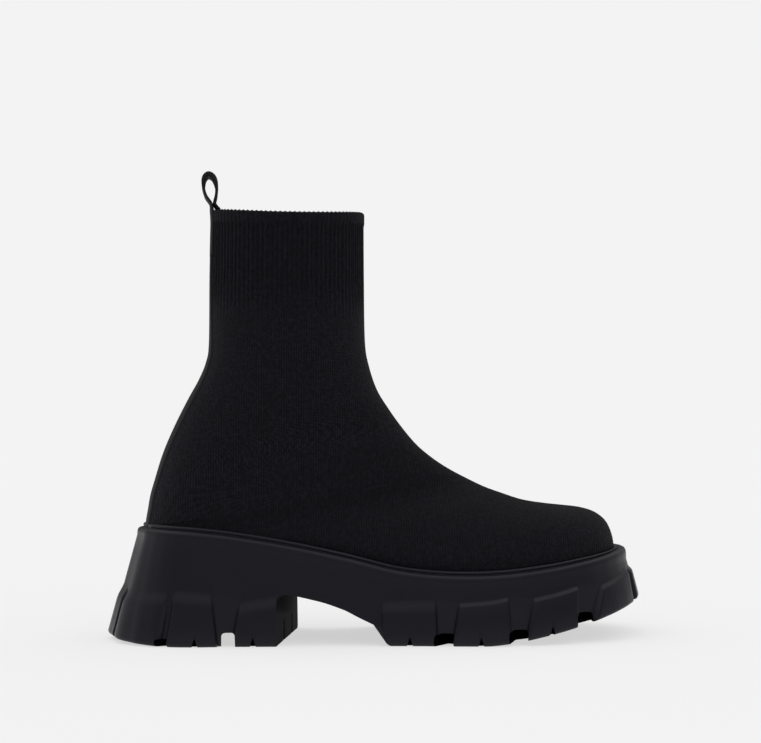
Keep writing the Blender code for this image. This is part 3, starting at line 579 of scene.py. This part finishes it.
# Sole unit: one black rubber moulding, with a double rim, a flared wall with raised
# pads, a lugged tread and an open arch. The knit is cemented down into it.
TOE_SPRING = 0.0215
TOE_REACH = 0.0132
SPRING_LENGTH = 0.0932
SPRING_POWER = 1.45
HEEL_REACH = 0.0215
HEEL_SPRING = 0.0030
HEEL_SPRING_LENGTH = 0.0395
RIM_OUT = 0.0052
RIM_DROP = 0.0068
TOE_LEDGE = 1.30
SIDE_FLARE = 6.3
END_FLARE = 8.7
PAD_STEP = 0.0017
RECESS_STEP = 0.0014
PAD_HEIGHT = 0.0250
PAD_CHAMFER = 0.0018
TREAD_EDGE = 0.0022
TREAD_BORDER = 0.0070
HEEL_BREAST = 0.0778
BREAST_SLANT = 0.0160
ARCH_LENGTH = 0.0489
ARCH_HEIGHT = 0.0270
HEEL_GROOVE = 0.0073
HEEL_GROOVE_AT = 0.0445
GROOVE_CORNER = 0.28  # radius of a groove's upper corners, a share of its width
SLOT_WIDTH = 0.0030
SLOT_HEIGHT = 0.0110
SLOT_DEPTH = 0.0050
SLOT_PLACE = 0.0150
LUG_GROOVE = 0.0090
LUG_DEPTH = 0.0068
LUG_REACH = 0.0115
LUG_SLANT = 28.0
NOTCH_WIDTH = 0.0034
NOTCH_HEIGHT = 0.0050
TOE_WIDER = 0.36  # share by which the rim stands out further at the toe
SHARP_ANGLE = 34  # degrees between faces from which an edge shows
SOLE_COLUMN = 0.0016  # greatest width of a face round the sole
SOLE_MERGE = 1e-6
RUBBER_GRAIN = 0.0006  # the mould's satin grain of a tenth of that, drawn coarser to show
RUBBER_WAVE = 0.017
RUBBER_COLOUR = "#17151D"
GROOVE_SHADE_COLOUR = "#040405"
# Painted shade: the near-black colour of the grooves, nicks and slots
ARCH_COLOUR = "#0D0C11"

# The rim's profile from the upper outward and down, as shares of its width and drop
RIM_ROWS = (
    (0.02, 0.22),
    (0.06, 0.02),
    (0.14, -0.02),
    (0.24, 0.01),
    (0.32, 0.07),
    (0.36, 0.15),
    (0.34, 0.22),
    (0.29, 0.28),
    (0.33, 0.32),
    (0.42, 0.31),
    (0.58, 0.325),
    (0.74, 0.37),
    (0.87, 0.46),
    (0.955, 0.60),
    (0.99, 0.78),
    (1.00, 1.00),
)
# One pad a row: where it starts and ends at its top and at the tread, how high its top is, if it
# is nicked, how large a groove follows it, and how softly its top is rounded
PAD_COLUMNS = (
    "start", "end", "start_low", "end_low", "start_top", "end_top", "nick", "groove", "soft")
PAD_ROWS = (
    (0.000, 0.026, 0.000, 0.024, 1.10, 1.10, 0, 0, 4.0),
    (0.042, 0.112, 0.040, 0.104, 1.06, 1.16, 0, 0.6, 4.0),
    (0.126, 0.172, 0.118, 0.183, 1.20, 1.13, 1, 0, 4.0),
    (0.230, 0.287, 0.212, 0.287, 0.96, 1.08, 1, 0, 4.0),
    (0.472, 0.560, 0.473, 0.565, 0.96, 1.00, 1, 1, 4.0),
    (0.607, 0.681, 0.594, 0.685, 0.90, 0.98, 1, 1, 1.0),
    (0.731, 0.803, 0.715, 0.798, 0.90, 0.88, 1, 1, 1.0),
    (0.855, 0.928, 0.833, 0.922, 0.77, 0.76, 0, 0, 1.5),
    (0.944, 1.000, 0.942, 1.000, 0.70, 0.68, 0, 0, 1.5),
)
PADS = [dict(zip(PAD_COLUMNS, row)) for row in PAD_ROWS]
WAIST_PAD = 3
# The gap under the waist from the heel's breast forward, as shares of its length and height,
# then how far each point follows the breast's slant
ARCH_ROWS = (
    (0.000, -0.30, 1.00),
    (0.000, 0.95, 1.00),
    (0.018, 1.00, 1.00),
    (0.100, 1.00, 0.90),
    (0.200, 0.96, 0.70),
    (0.300, 0.905, 0.50),
    (0.400, 0.845, 0.30),
    (0.500, 0.77, 0.15),
    (0.600, 0.69, 0.05),
    (0.700, 0.59, 0.00),
    (0.800, 0.50, 0.00),
    (0.900, 0.415, 0.00),
    (0.955, 0.385, 0.00),
    (0.985, 0.30, 0.00),
    (1.000, 0.16, 0.00),
    (1.045, 0.04, 0.00),
    (1.120, -0.02, 0.00),
    (1.120, -0.30, 0.00),
)


def end_point(which):
    """Plan point where the upper's back or front middle line meets the sole."""
    section = section_at(turning_place(0.0, LAST_SECTION, lambda place: over_edge(place, which) > 0))
    return np.array([section[f"{which}_x"], section["swing"]])


def edge_line(side):
    """Plan points where the upper's outside meets the sole, from heel to toe, on one side."""
    line = [end_point("back")]
    for place in np.arange(24 * LAST_SECTION + 1) / 24:
        ring = open_ring(place, 1, 0.0)
        if ring is None:
            break
        end = ring[2] if side < 0 else ring[0]
        if end[2] - edge_heights(end[0]) < 1e-5:
            line.append(end[:2])
    line.append(end_point("front"))
    return np.array(line)


def evened(line, count):
    """A plan line as points the same distance apart."""
    run = distances(line, 0)
    even = np.linspace(0.0, run[-1], count + 1)
    return np.stack([np.interp(even, run, line[:, axis]) for axis in (0, 1)], axis=1)


OUTLINE_STEPS = 160
OUTLINES = {side: evened(edge_line(side), OUTLINE_STEPS) for side in (-1, 1)}
SIDE_LENGTH = float(distances(OUTLINES[-1], 0)[-1])


def outline_step(side, index):
    """A point of the evened outline, running on round the heel and the toe to the other side."""
    if index < 0:
        return OUTLINES[-side][-index]
    if index > OUTLINE_STEPS:
        return OUTLINES[-side][2 * OUTLINE_STEPS - index]
    return OUTLINES[side][index]


def outline_point(side, share):
    """A point of the upper's edge and its outward direction, a share of the way to the toe."""
    place = share * OUTLINE_STEPS
    low = min(OUTLINE_STEPS - 1, int(place))
    part = place - low
    near = np.array([outline_step(side, low + step) for step in range(-2, 4)])
    run = Vector((near[3] - near[1]) * (1 - part) + (near[4] - near[2]) * part).normalized()
    return Vector(smooth(near, 2 + part)), Vector((-run.y, run.x)) * side


def tread_height(x):
    """Height of the tread: rounded up behind, flat, then sprung up towards the toe."""
    toe_share = max(0.0, (x - UPPER_LENGTH - TOE_REACH) / SPRING_LENGTH + 1)
    heel_share = max(0.0, 1 - (x + HEEL_REACH) / HEEL_SPRING_LENGTH)
    return TOE_SPRING * toe_share ** SPRING_POWER + HEEL_SPRING * heel_share ** 2


def wall_slope(outward):
    """How far the sole's wall leans out for its height, where it faces a plan direction."""
    return math.tan(math.radians(SIDE_FLARE + END_FLARE * outward.x ** 2))


def rim_out(outward):
    """Width of the rim outside the upper, where it faces a plan direction."""
    return RIM_OUT * (1 + TOE_WIDER * max(0.0, outward.x) ** 2)


def tread_edge(side, share):
    """Plan point under the wall where it reaches the tread, its outward way, and its height."""
    point, outward = outline_point(side, share)
    wall_top = edge_height(point.x) - RIM_DROP
    reach = rim_out(outward)
    for _ in range(3):
        height = tread_height(point.x + outward.x * reach)
        reach = rim_out(outward) + wall_slope(outward) * (wall_top - height)
    return point + outward * reach, outward, height


def pad_top(share):
    """Height of the pads' top line over the tread, as a share of the pads' height."""
    before = PADS[0]
    for pad in PADS:
        if share < pad["start"]:
            gap_share = (share - before["end"]) / (pad["start"] - before["end"])
            return before["end_top"] + gap_share * (pad["start_top"] - before["end_top"])
        if share <= pad["end"]:
            pad_share = (share - pad["start"]) / (pad["end"] - pad["start"])
            return pad["start_top"] + pad_share * (pad["end_top"] - pad["start_top"])
        before = pad
    return before["end_top"]


def sole_columns():
    """Columns of the sole's wall: share at the pads' top, share at the tread, lift, softness.

    The lift is 1 on a pad, -1 in the recess between two pads and 0 on the plain waist.
    """
    chamfer = PAD_CHAMFER / SIDE_LENGTH
    knots = []
    for index, pad in enumerate(PADS):
        for end, way, waist_side in (("start", -1, WAIST_PAD + 1), ("end", 1, WAIST_PAD)):
            beside = 0 if index == waist_side else -1
            for out, done in ((1.0, 0.0), (0.8, 0.06), (0.2, 0.94), (0.0, 1.0))[::-way]:
                if 0 < pad[end] < 1 or out == 0:
                    reach = way * out * chamfer
                    knots.append((pad[end] + reach, pad[f"{end}_low"] + reach,
                                  beside + done * (1 - beside), pad["soft"]))
    columns = [knots[0]]
    for start, end in zip(knots, knots[1:]):
        pieces = max(1, math.ceil((end[0] - start[0]) * SIDE_LENGTH / SOLE_COLUMN))
        for step in range(1, pieces + 1):
            columns.append(tuple(a + (b - a) * step / pieces for a, b in zip(start, end)))
    return columns


def sole_column(side, top_share, low_share, lift, soft):
    """The points of one column of the sole's side, from the rim down to the tread."""
    point, outward = outline_point(side, top_share)
    top = edge_height(point.x)
    ledge = TOE_LEDGE * max(0.0, outward.x) ** 2
    column = []
    for out, drop in RIM_ROWS:
        spot = point + outward * out * rim_out(outward)
        drop *= 1 - ledge * (1 - drop)
        column.append(Vector((spot.x, spot.y, top - drop * RIM_DROP)))
    rim_foot = top - RIM_DROP
    edge, edge_outward, bottom = tread_edge(side, low_share)
    crest = min(bottom + pad_top(top_share) * PAD_HEIGHT, rim_foot - 2 * PAD_CHAMFER)
    ease = min(soft * PAD_CHAMFER, (crest - bottom) / 2)
    raised = max(0.0, lift) * PAD_STEP
    levels = (
        ((rim_foot * 2 + crest) / 3, 0.0),
        ((rim_foot + crest * 2) / 3, 0.0),
        (crest + 0.15 * PAD_CHAMFER, 0.0),
        (crest - 0.15 * ease, 0.10 * raised),
        (crest - 0.50 * ease, 0.50 * raised),
        (crest - 0.85 * ease, 0.90 * raised),
        (crest - 1.15 * ease, raised),
        ((crest - 1.15 * ease + bottom) / 2, raised),
        (bottom + TREAD_EDGE, raised),
        (bottom + TREAD_EDGE * 0.62, raised - TREAD_EDGE * 0.08),
        (bottom + TREAD_EDGE * 0.29, raised - TREAD_EDGE * 0.29),
        (bottom + TREAD_EDGE * 0.08, raised - TREAD_EDGE * 0.62),
        (bottom, raised - TREAD_EDGE),
    )
    for height, extra in levels:
        down = max(0.0, (crest - height) / (crest - bottom))
        point, outward = outline_point(side, top_share + (low_share - top_share) * down)
        wall_top = edge_height(point.x) - RIM_DROP
        out = rim_out(outward) + wall_slope(outward) * (wall_top - height) + extra
        spot = point + outward * (out + min(0.0, lift) * down * RECESS_STEP)
        column.append(Vector((spot.x, spot.y, height)))
    spot = edge - edge_outward * TREAD_BORDER
    column.append(Vector((spot.x, spot.y, tread_height(spot.x))))
    return column


def finished_mesh(name, edit):
    """A mesh from a bmesh, in triangles that face outward, moved to its place in the frame."""
    bmesh.ops.recalc_face_normals(edit, faces=edit.faces)
    bmesh.ops.triangulate(edit, faces=edit.faces)
    bmesh.ops.translate(edit, verts=edit.verts, vec=HEEL_CURVE)
    mesh = bpy.data.meshes.new(name)
    edit.to_mesh(mesh)
    edit.free()
    return mesh


def add_prism(edit, outline, half_width, skew=0.0, matrix=Matrix()):
    """Adds an outline in x and z drawn out along y, its ends pulled apart by the skew, then placed."""
    rings = []
    for side in (-1, 1):
        shift = skew * side
        spots = [Vector((x + shift * pull, side * half_width, z)) for x, z, pull in outline]
        rings.append([edit.verts.new(matrix @ spot) for spot in spots])
    near, far = rings
    for index in range(len(outline)):
        edit.faces.new((near[index - 1], near[index], far[index], far[index - 1]))
    edit.faces.new(near)
    edit.faces.new(far[::-1])


def arch_outline():
    """The gap between heel and forefoot, seen from the side, as smooth as it is drawn."""
    curved = np.array(ARCH_ROWS[1:-1])
    steps = np.arange(4 * len(curved) - 3) / 4
    rows = [ARCH_ROWS[0], *[smooth(curved, step) for step in steps], ARCH_ROWS[-1]]
    return [(HEEL_BREAST + along * ARCH_LENGTH, up * ARCH_HEIGHT, pull) for along, up, pull in rows]


def groove_outline(width, depth):
    """A groove in the tread, seen along it, with its upper corners rounded."""
    corner = width * GROOVE_CORNER
    outline = [(-width / 2, -depth, 0.0)]
    for angle in np.linspace(0.0, math.pi / 2, 7):
        x = corner * (1 - math.cos(angle)) - width / 2
        outline.append((x, depth - corner + corner * math.sin(angle), 0.0))
    return outline + [(-x, z, pull) for x, z, pull in reversed(outline)]


def box_matrix(spot, height, direction, size):
    """Puts a unit cube at a plan point and a height, along a plan direction, at a size."""
    place = Matrix.Translation((spot.x, spot.y, height))
    facing = Matrix.Rotation(math.atan2(direction.y, direction.x), 4, "Z")
    return place @ facing @ Matrix.Diagonal((*size, 1.0))


def add_lug_cuts(edit):
    """Adds slanting grooves between the lugs, nicks in the pads, and slots in the breast."""
    for side in (-1, 1):
        for pad, following in zip(PADS, PADS[1:]):
            if pad["groove"]:
                edge, outward, bottom = tread_edge(side, (pad["end_low"] + following["start_low"]) / 2)
                inward = -(Matrix.Rotation(math.radians(LUG_SLANT) * side, 2) @ outward)
                middle = edge + inward * (LUG_REACH - LUG_GROOVE) / 2
                outline = groove_outline(LUG_GROOVE * pad["groove"], LUG_DEPTH * pad["groove"])
                matrix = box_matrix(middle, bottom, Vector((inward.y, -inward.x)), (1.0, 1.0, 1.0))
                add_prism(edit, outline, (LUG_REACH + LUG_GROOVE) / 2, matrix=matrix)
            if pad["nick"]:
                edge, outward, bottom = tread_edge(side, (pad["start_low"] + pad["end_low"]) / 2)
                root = math.sqrt(0.5)
                size = (5 * TREAD_EDGE, NOTCH_WIDTH * root, 2 * NOTCH_HEIGHT * root)
                corner_up = Matrix.Rotation(math.radians(45), 4, "X")
                matrix = box_matrix(edge + outward * PAD_STEP, bottom, outward, size) @ corner_up
                bmesh.ops.create_cube(edit, size=1.0, matrix=matrix)
        breast = HEEL_BREAST + BREAST_SLANT * side * SLOT_PLACE / BALL_WIDTH
        spot = Vector((breast, side * SLOT_PLACE))
        matrix = box_matrix(spot, 0.0, Vector((1.0, 0.0)), (2 * SLOT_DEPTH, SLOT_WIDTH, 2 * SLOT_HEIGHT))
        bmesh.ops.create_cube(edit, size=1.0, matrix=matrix)


# Carbon black rubber from a satin mould: a dull gloss on the edges, a fine even grain,
# and the slight waves of a moulding's skin.
rubber = new_material("black moulded rubber")
rubber_tree = rubber.node_tree
rubber_place = add_node(rubber_tree, "TexCoord", {}).outputs["Object"]
grain = add_node(rubber_tree, "TexNoise", {
    "Vector": rubber_place, "Scale": 1 / RUBBER_GRAIN, "Detail": 3.0})
skin = add_node(rubber_tree, "TexNoise", {
    "Vector": rubber_place, "Scale": 1 / RUBBER_WAVE, "Detail": 2.0})
surface = add_node(rubber_tree, "Math", {0: skin, 1: 1.5, 2: grain}, operation="MULTIPLY_ADD")
rubber_bump = add_node(rubber_tree, "Bump", {
    "Strength": 0.25, "Distance": RELIEF_RISE, "Height": surface})
set_shader(rubber, {
    "Base Color": linear(RUBBER_COLOUR), "Normal": rubber_bump, "Roughness": 0.36, "IOR": 1.52,
    "Specular IOR Level": 0.2})

# Painted shade: inside the grooves, the nicks and the slots the rubber is painted almost black, rough and
# without shine, so that they stay as dark as shade.
groove_shade_rubber = new_material("black rubber painted as shade inside the grooves")
set_shader(groove_shade_rubber, {
    "Base Color": linear(GROOVE_SHADE_COLOUR), "Roughness": 0.9, "Specular IOR Level": 0.0})

# The arch, the heel's breast and the groove across the heel get a darker rubber that shines less than the
# walls.
arch_rubber = new_material("black rubber under the arch")
set_shader(arch_rubber, {
    "Base Color": linear(ARCH_COLOUR), "Roughness": 0.8, "Specular IOR Level": 0.08})

columns = sole_columns()
sole_edit = bmesh.new()
outer, inner = [
    [[sole_edit.verts.new(spot) for spot in sole_column(side, *column)] for column in columns]
    for side in (-1, 1)]
for wall in (outer, inner):
    for near, far in zip(wall, wall[1:]):
        for row in range(len(near) - 1):
            sole_edit.faces.new((near[row], far[row], far[row + 1], near[row + 1]))
for columns_between in zip(outer, outer[1:], inner[1:], inner):
    for row in (0, -1):
        sole_edit.faces.new([column[row] for column in columns_between])
bmesh.ops.remove_doubles(sole_edit, verts=sole_edit.verts, dist=SOLE_MERGE)
sole_moulding = new_object("sole_moulding", finished_mesh("sole_moulding", sole_edit))
sole_moulding.data.materials.append(rubber)

arch_cut, heel_cut, lug_cut = bmesh.new(), bmesh.new(), bmesh.new()
add_prism(arch_cut, arch_outline(), BALL_WIDTH, BREAST_SLANT)
across_heel = Matrix.Translation((HEEL_GROOVE_AT, 0.0, 0.0))
add_prism(heel_cut, groove_outline(HEEL_GROOVE, HEEL_GROOVE), BALL_WIDTH, matrix=across_heel)
add_lug_cuts(lug_cut)
# The lug cut gives its faces the groove rubber, which is painted shade
cuts = {"arch_cut": (arch_cut, arch_rubber), "heel_cut": (heel_cut, arch_rubber),
        "lug_cut": (lug_cut, groove_shade_rubber)}
for name, (edit, material) in cuts.items():
    cutter = new_object(name, finished_mesh(name, edit))
    cutter.data.materials.append(material)
    modifier = sole_moulding.modifiers.new(name, "BOOLEAN")
    modifier.operation = "DIFFERENCE"
    modifier.solver = "EXACT"
    modifier.material_mode = "TRANSFER"
    modifier.object = cutter
bpy.context.view_layer.update()
cut_mesh = bpy.data.meshes.new_from_object(
    sole_moulding.evaluated_get(bpy.context.evaluated_depsgraph_get()))
sole_moulding.modifiers.clear()
sole_moulding.data = cut_mesh
cut_mesh.shade_smooth()
cut_mesh.set_sharp_from_angle(angle=math.radians(SHARP_ANGLE))
for name in cuts:
    bpy.data.objects.remove(bpy.data.objects[name], do_unlink=True)
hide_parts("sole_unit")
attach(sole_moulding, "root")

# Insole: a foam sheet with a brushed textile face, moulded slightly hollow, with a
# rolled edge. It lies loose on the footbed inside the sock.
INSOLE_THICKNESS = 0.0040
INSOLE_MARGIN = 0.0022
INSOLE_CUP = 0.0011  # how far its edge turns up
INSOLE_EDGE = 0.03  # share of its half width that is rounded
GAP = 0.0003
INSOLE_NAP = 0.0008
INSOLE_COLUMNS = 27
INSOLE_ROWS = 121
INSOLE_COLOUR = "#161618"

# Brushed polyester over foam: matt, with a faint bloom like the lining's.
textile = new_material("black brushed textile over foam")
set_shader(textile, {
    "Base Color": linear(INSOLE_COLOUR), "Roughness": 0.9, "Specular IOR Level": 0.2,
    "Sheen Weight": 0.05, "Normal": fine_relief(textile, INSOLE_NAP, 3.0, 0.5)})

across_top = np.linspace(-1.0, 1.0, INSOLE_COLUMNS)
top_rise = INSOLE_THICKNESS + INSOLE_CUP * np.abs(across_top) ** 5
edge_share = np.clip((np.abs(across_top) - 1) / INSOLE_EDGE + 1, 0.0, 1.0)
top_rise -= INSOLE_THICKNESS / 2 * edge_share ** 2
across_all = np.concatenate([across_top, across_top[::-1]])
rise_all = np.concatenate([top_rise, np.zeros(len(across_top))])
insole_grid = []
for share in (1 - np.cos(np.linspace(0.0, math.pi, INSOLE_ROWS))) / 2:
    ends = []
    for side in (-1, 1):
        point, outward = outline_point(side, float(share))
        ends.append(np.array(point - outward * (UPPER_WALL + INSOLE_MARGIN)))
    plan = ends[0] + (ends[1] - ends[0]) * (across_all[:, None] + 1) / 2
    heights = edge_heights(plan[:, 0]) + GAP + rise_all
    insole_grid.append(np.concatenate([plan, heights[:, None]], axis=1))
insole_grid = np.array(insole_grid)
insole_uvs = np.stack([distances(insole_grid, 0), distances(insole_grid, 1)], axis=-1)
insole_sheet = grid_object("insole_sheet", insole_grid, insole_uvs, textile, closed=True)
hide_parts("insole")
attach(insole_sheet, "root")

# Back strip: a smooth coated strip, heat bonded over the back seam, its edges pressed
# thin so that it runs flush into the knit. It widens down to the sole's rim.
STRIP_TOP_WIDTH = 0.0150
STRIP_HEEL_WIDTH = 0.0270
STRIP_WIDENING = 0.0950
STRIP_RELIEF = 0.0006  # how far the bonded strip stands over the knit
STRIP_SINK = 0.0005  # how far its edges lie in the knit
STRIP_OVERLAP = 0.003  # how far it runs up under the loop's tail
STRIP_ROWS = 110
NEAR = 0.02  # how far to the side a surface's slope is measured
TAPE_TAIL = 0.0250
STRIP_GRAIN = 0.0014
STRIP_COLOUR = "#141418"

# Polyurethane film on a woven back: smooth, with a soft dull shine along its curve.
coated = new_material("black coated strip")
set_shader(coated, {
    "Base Color": linear(STRIP_COLOUR), "Roughness": 0.55, "IOR": 1.48,
    "Specular IOR Level": 0.15, "Normal": fine_relief(coated, STRIP_GRAIN, 2.0, 0.15)})

strip_top = COLLAR_HEIGHT - TAPE_TAIL + STRIP_OVERLAP
strip_heights = np.linspace(strip_top, edge_height(0.0) - TUCK, STRIP_ROWS)
widened = eased(COLLAR_HEIGHT - TAPE_TAIL - strip_heights, 0.0, STRIP_WIDENING)
strip_halves = (STRIP_TOP_WIDTH + (STRIP_HEEL_WIDTH - STRIP_TOP_WIDTH) * widened) / 2
# Shares of the half width, closest together where the edges bend down into the knit
strip_half = np.array([0.0, 0.25, 0.5, 0.7, 0.86, 0.92, 0.96, 0.985, 1.0])
strip_offsets = np.concatenate([-strip_half[:0:-1], strip_half])
strip_lifts = STRIP_RELIEF - (STRIP_RELIEF + STRIP_SINK) * eased(np.abs(strip_offsets), 0.90, 1.0)
strip_grid = []
for height, half in zip(strip_heights, strip_halves):
    place = turning_place(0.0, len(SHAFT_ROWS) - 1, lambda spot: section_at(spot)["back_z"] > height)
    section = section_at(place)
    y = strip_offsets * half
    turned = np.arcsin((np.abs(y) / section["half"]) ** (section["full"] / 2))
    angles = math.pi + np.where(y > 0, turned, -turned)
    above = section_points(section_at(max(0.0, place - NEAR)), angles)
    below = section_points(section_at(place + NEAR), angles)
    round_it = section_points(section, angles + NEAR) - section_points(section, angles - NEAR)
    normals = unit(np.cross(round_it, below - above))
    strip_grid.append(section_points(section, angles) + normals * strip_lifts[:, None])
strip_grid = np.array(strip_grid)
strip_uvs = np.stack([distances(strip_grid, 1), distances(strip_grid, 0)], axis=-1)
bonded_strip = grid_object("bonded_strip", strip_grid, strip_uvs, coated)
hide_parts("back_strip")
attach(bonded_strip, "root")

# Pull loop: a woven tape folded to a loop, both tails sewn flat to the collar, one
# inside and one outside, where it covers the top of the back strip.
TAPE_WIDTH = 0.0185
TAPE_THICKNESS = 0.0014
TAPE_EDGE = 0.0009  # width of the tape's round selvedge
TAIL_SINK = 0.0011  # how far the sewn tail is drawn into the knit
LOOP_HEIGHT = 0.0214
LOOP_FLAT = 0.33
TAPE_COLOUR = "#131316"
TAPE_RIB = 0.0011  # spacing of the tape's cross ribs
# The loop from its inner leg over the top to its outer leg: how far behind the collar and how
# high over it, as shares of the loop's height
LOOP_ROWS = (
    (-0.110, 0.08),
    (-0.058, 0.20),
    (-0.115, 0.42),
    (-0.120, 0.66),
    (-0.050, 0.86),
    (0.085, 0.94),
    (0.195, 0.84),
    (0.215, 0.62),
    (0.150, 0.38),
    (0.036, 0.18),
)
FIRST_SECTION = 0.036  # from the collar down to the next section
LOOP_PADDING = 0.8  # share by which the tape is thicker where it turns over
LOOP_TURN = (0.45, 0.9)  # the heights between which it thickens, shares of the loop's

# Polyester grosgrain: matt, with fine cross ribs that catch a little light.
tape = new_material("black woven grosgrain tape")
tape_tree = tape.node_tree
tape_axes = add_node(tape_tree, "SeparateXYZ", {0: add_node(tape_tree, "UVMap", {}, uv_map="cloth")})
tape_ribs = add_node(tape_tree, "Math", {
    0: tape_axes.outputs["X"], 1: 2 * math.pi / TAPE_RIB}, operation="MULTIPLY")
tape_wave = add_node(tape_tree, "Math", {0: tape_ribs}, operation="SINE")
tape_bump = add_node(tape_tree, "Bump", {
    "Strength": 0.5, "Distance": RELIEF_RISE, "Height": tape_wave})
set_shader(tape, {
    "Base Color": linear(TAPE_COLOUR), "Normal": tape_bump, "Roughness": 0.7,
    "Specular IOR Level": 0.25})

# The tape's middle line: height, distance behind the collar, and how far it curls with the wall
tape_half = TAPE_THICKNESS / 2
tail = np.linspace(0.0, 1.0, 5)
path = [(COLLAR_HEIGHT - TAPE_TAIL * (1 - step), -(UPPER_WALL + 2 * GAP + tape_half), 1.0)
        for step in tail]
path += [(COLLAR_HEIGHT + up * LOOP_HEIGHT, out * LOOP_HEIGHT, max(0.0, 1 - up / LOOP_FLAT))
         for out, up in LOOP_ROWS]
path += [(COLLAR_HEIGHT - TAPE_TAIL * step,
          HEM_STEP + tape_half - TAIL_SINK * min(1.0, 0.6 + 4 * step), 1.0) for step in tail]
# Round the tape: over the outer face, round one selvedge, back along the inner face
rounding = np.linspace(0.0, math.pi, 6)[1:-1]
flat_half = TAPE_WIDTH / 2 - TAPE_EDGE
across_tape = np.concatenate([
    np.linspace(-flat_half, flat_half, 9), flat_half + TAPE_EDGE * np.sin(rounding),
    np.linspace(flat_half, -flat_half, 9), -flat_half - TAPE_EDGE * np.sin(rounding)])
through_tape = tape_half * np.concatenate([
    np.ones(9), np.cos(rounding), -np.ones(9), -np.cos(rounding)])
line = np.array([smooth(np.array(path), step / 7) for step in range((len(path) - 1) * 7 + 1)])
ways = unit(np.gradient(line[:, :2], axis=0))
tape_grid = []
section = section_at(0.0)
turned = np.arcsin((np.abs(across_tape) / section["half"]) ** (section["full"] / 2))
wall = section_points(section, math.pi - turned)[:, 0] - section["back_x"]
for (height, out, curl), (way_up, way_out) in zip(line, ways):
    below = min(1.0, max(0.0, (COLLAR_HEIGHT - height) / FIRST_SECTION))
    turning = eased((height - COLLAR_HEIGHT) / LOOP_HEIGHT, *LOOP_TURN)
    through = through_tape * (1 + LOOP_PADDING * turning)
    x = section_at(below)["back_x"] + wall * curl - out - through * way_up
    tape_grid.append(np.stack([x, across_tape, height - through * way_out], axis=1))
tape_grid = np.array(tape_grid)
tape_uvs = np.stack([distances(tape_grid, 0), distances(tape_grid, 1)], axis=-1)
loop_tape = grid_object("loop_tape", tape_grid, tape_uvs, tape, closed=True)
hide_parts("pull_loop")
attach(loop_tape, "root")
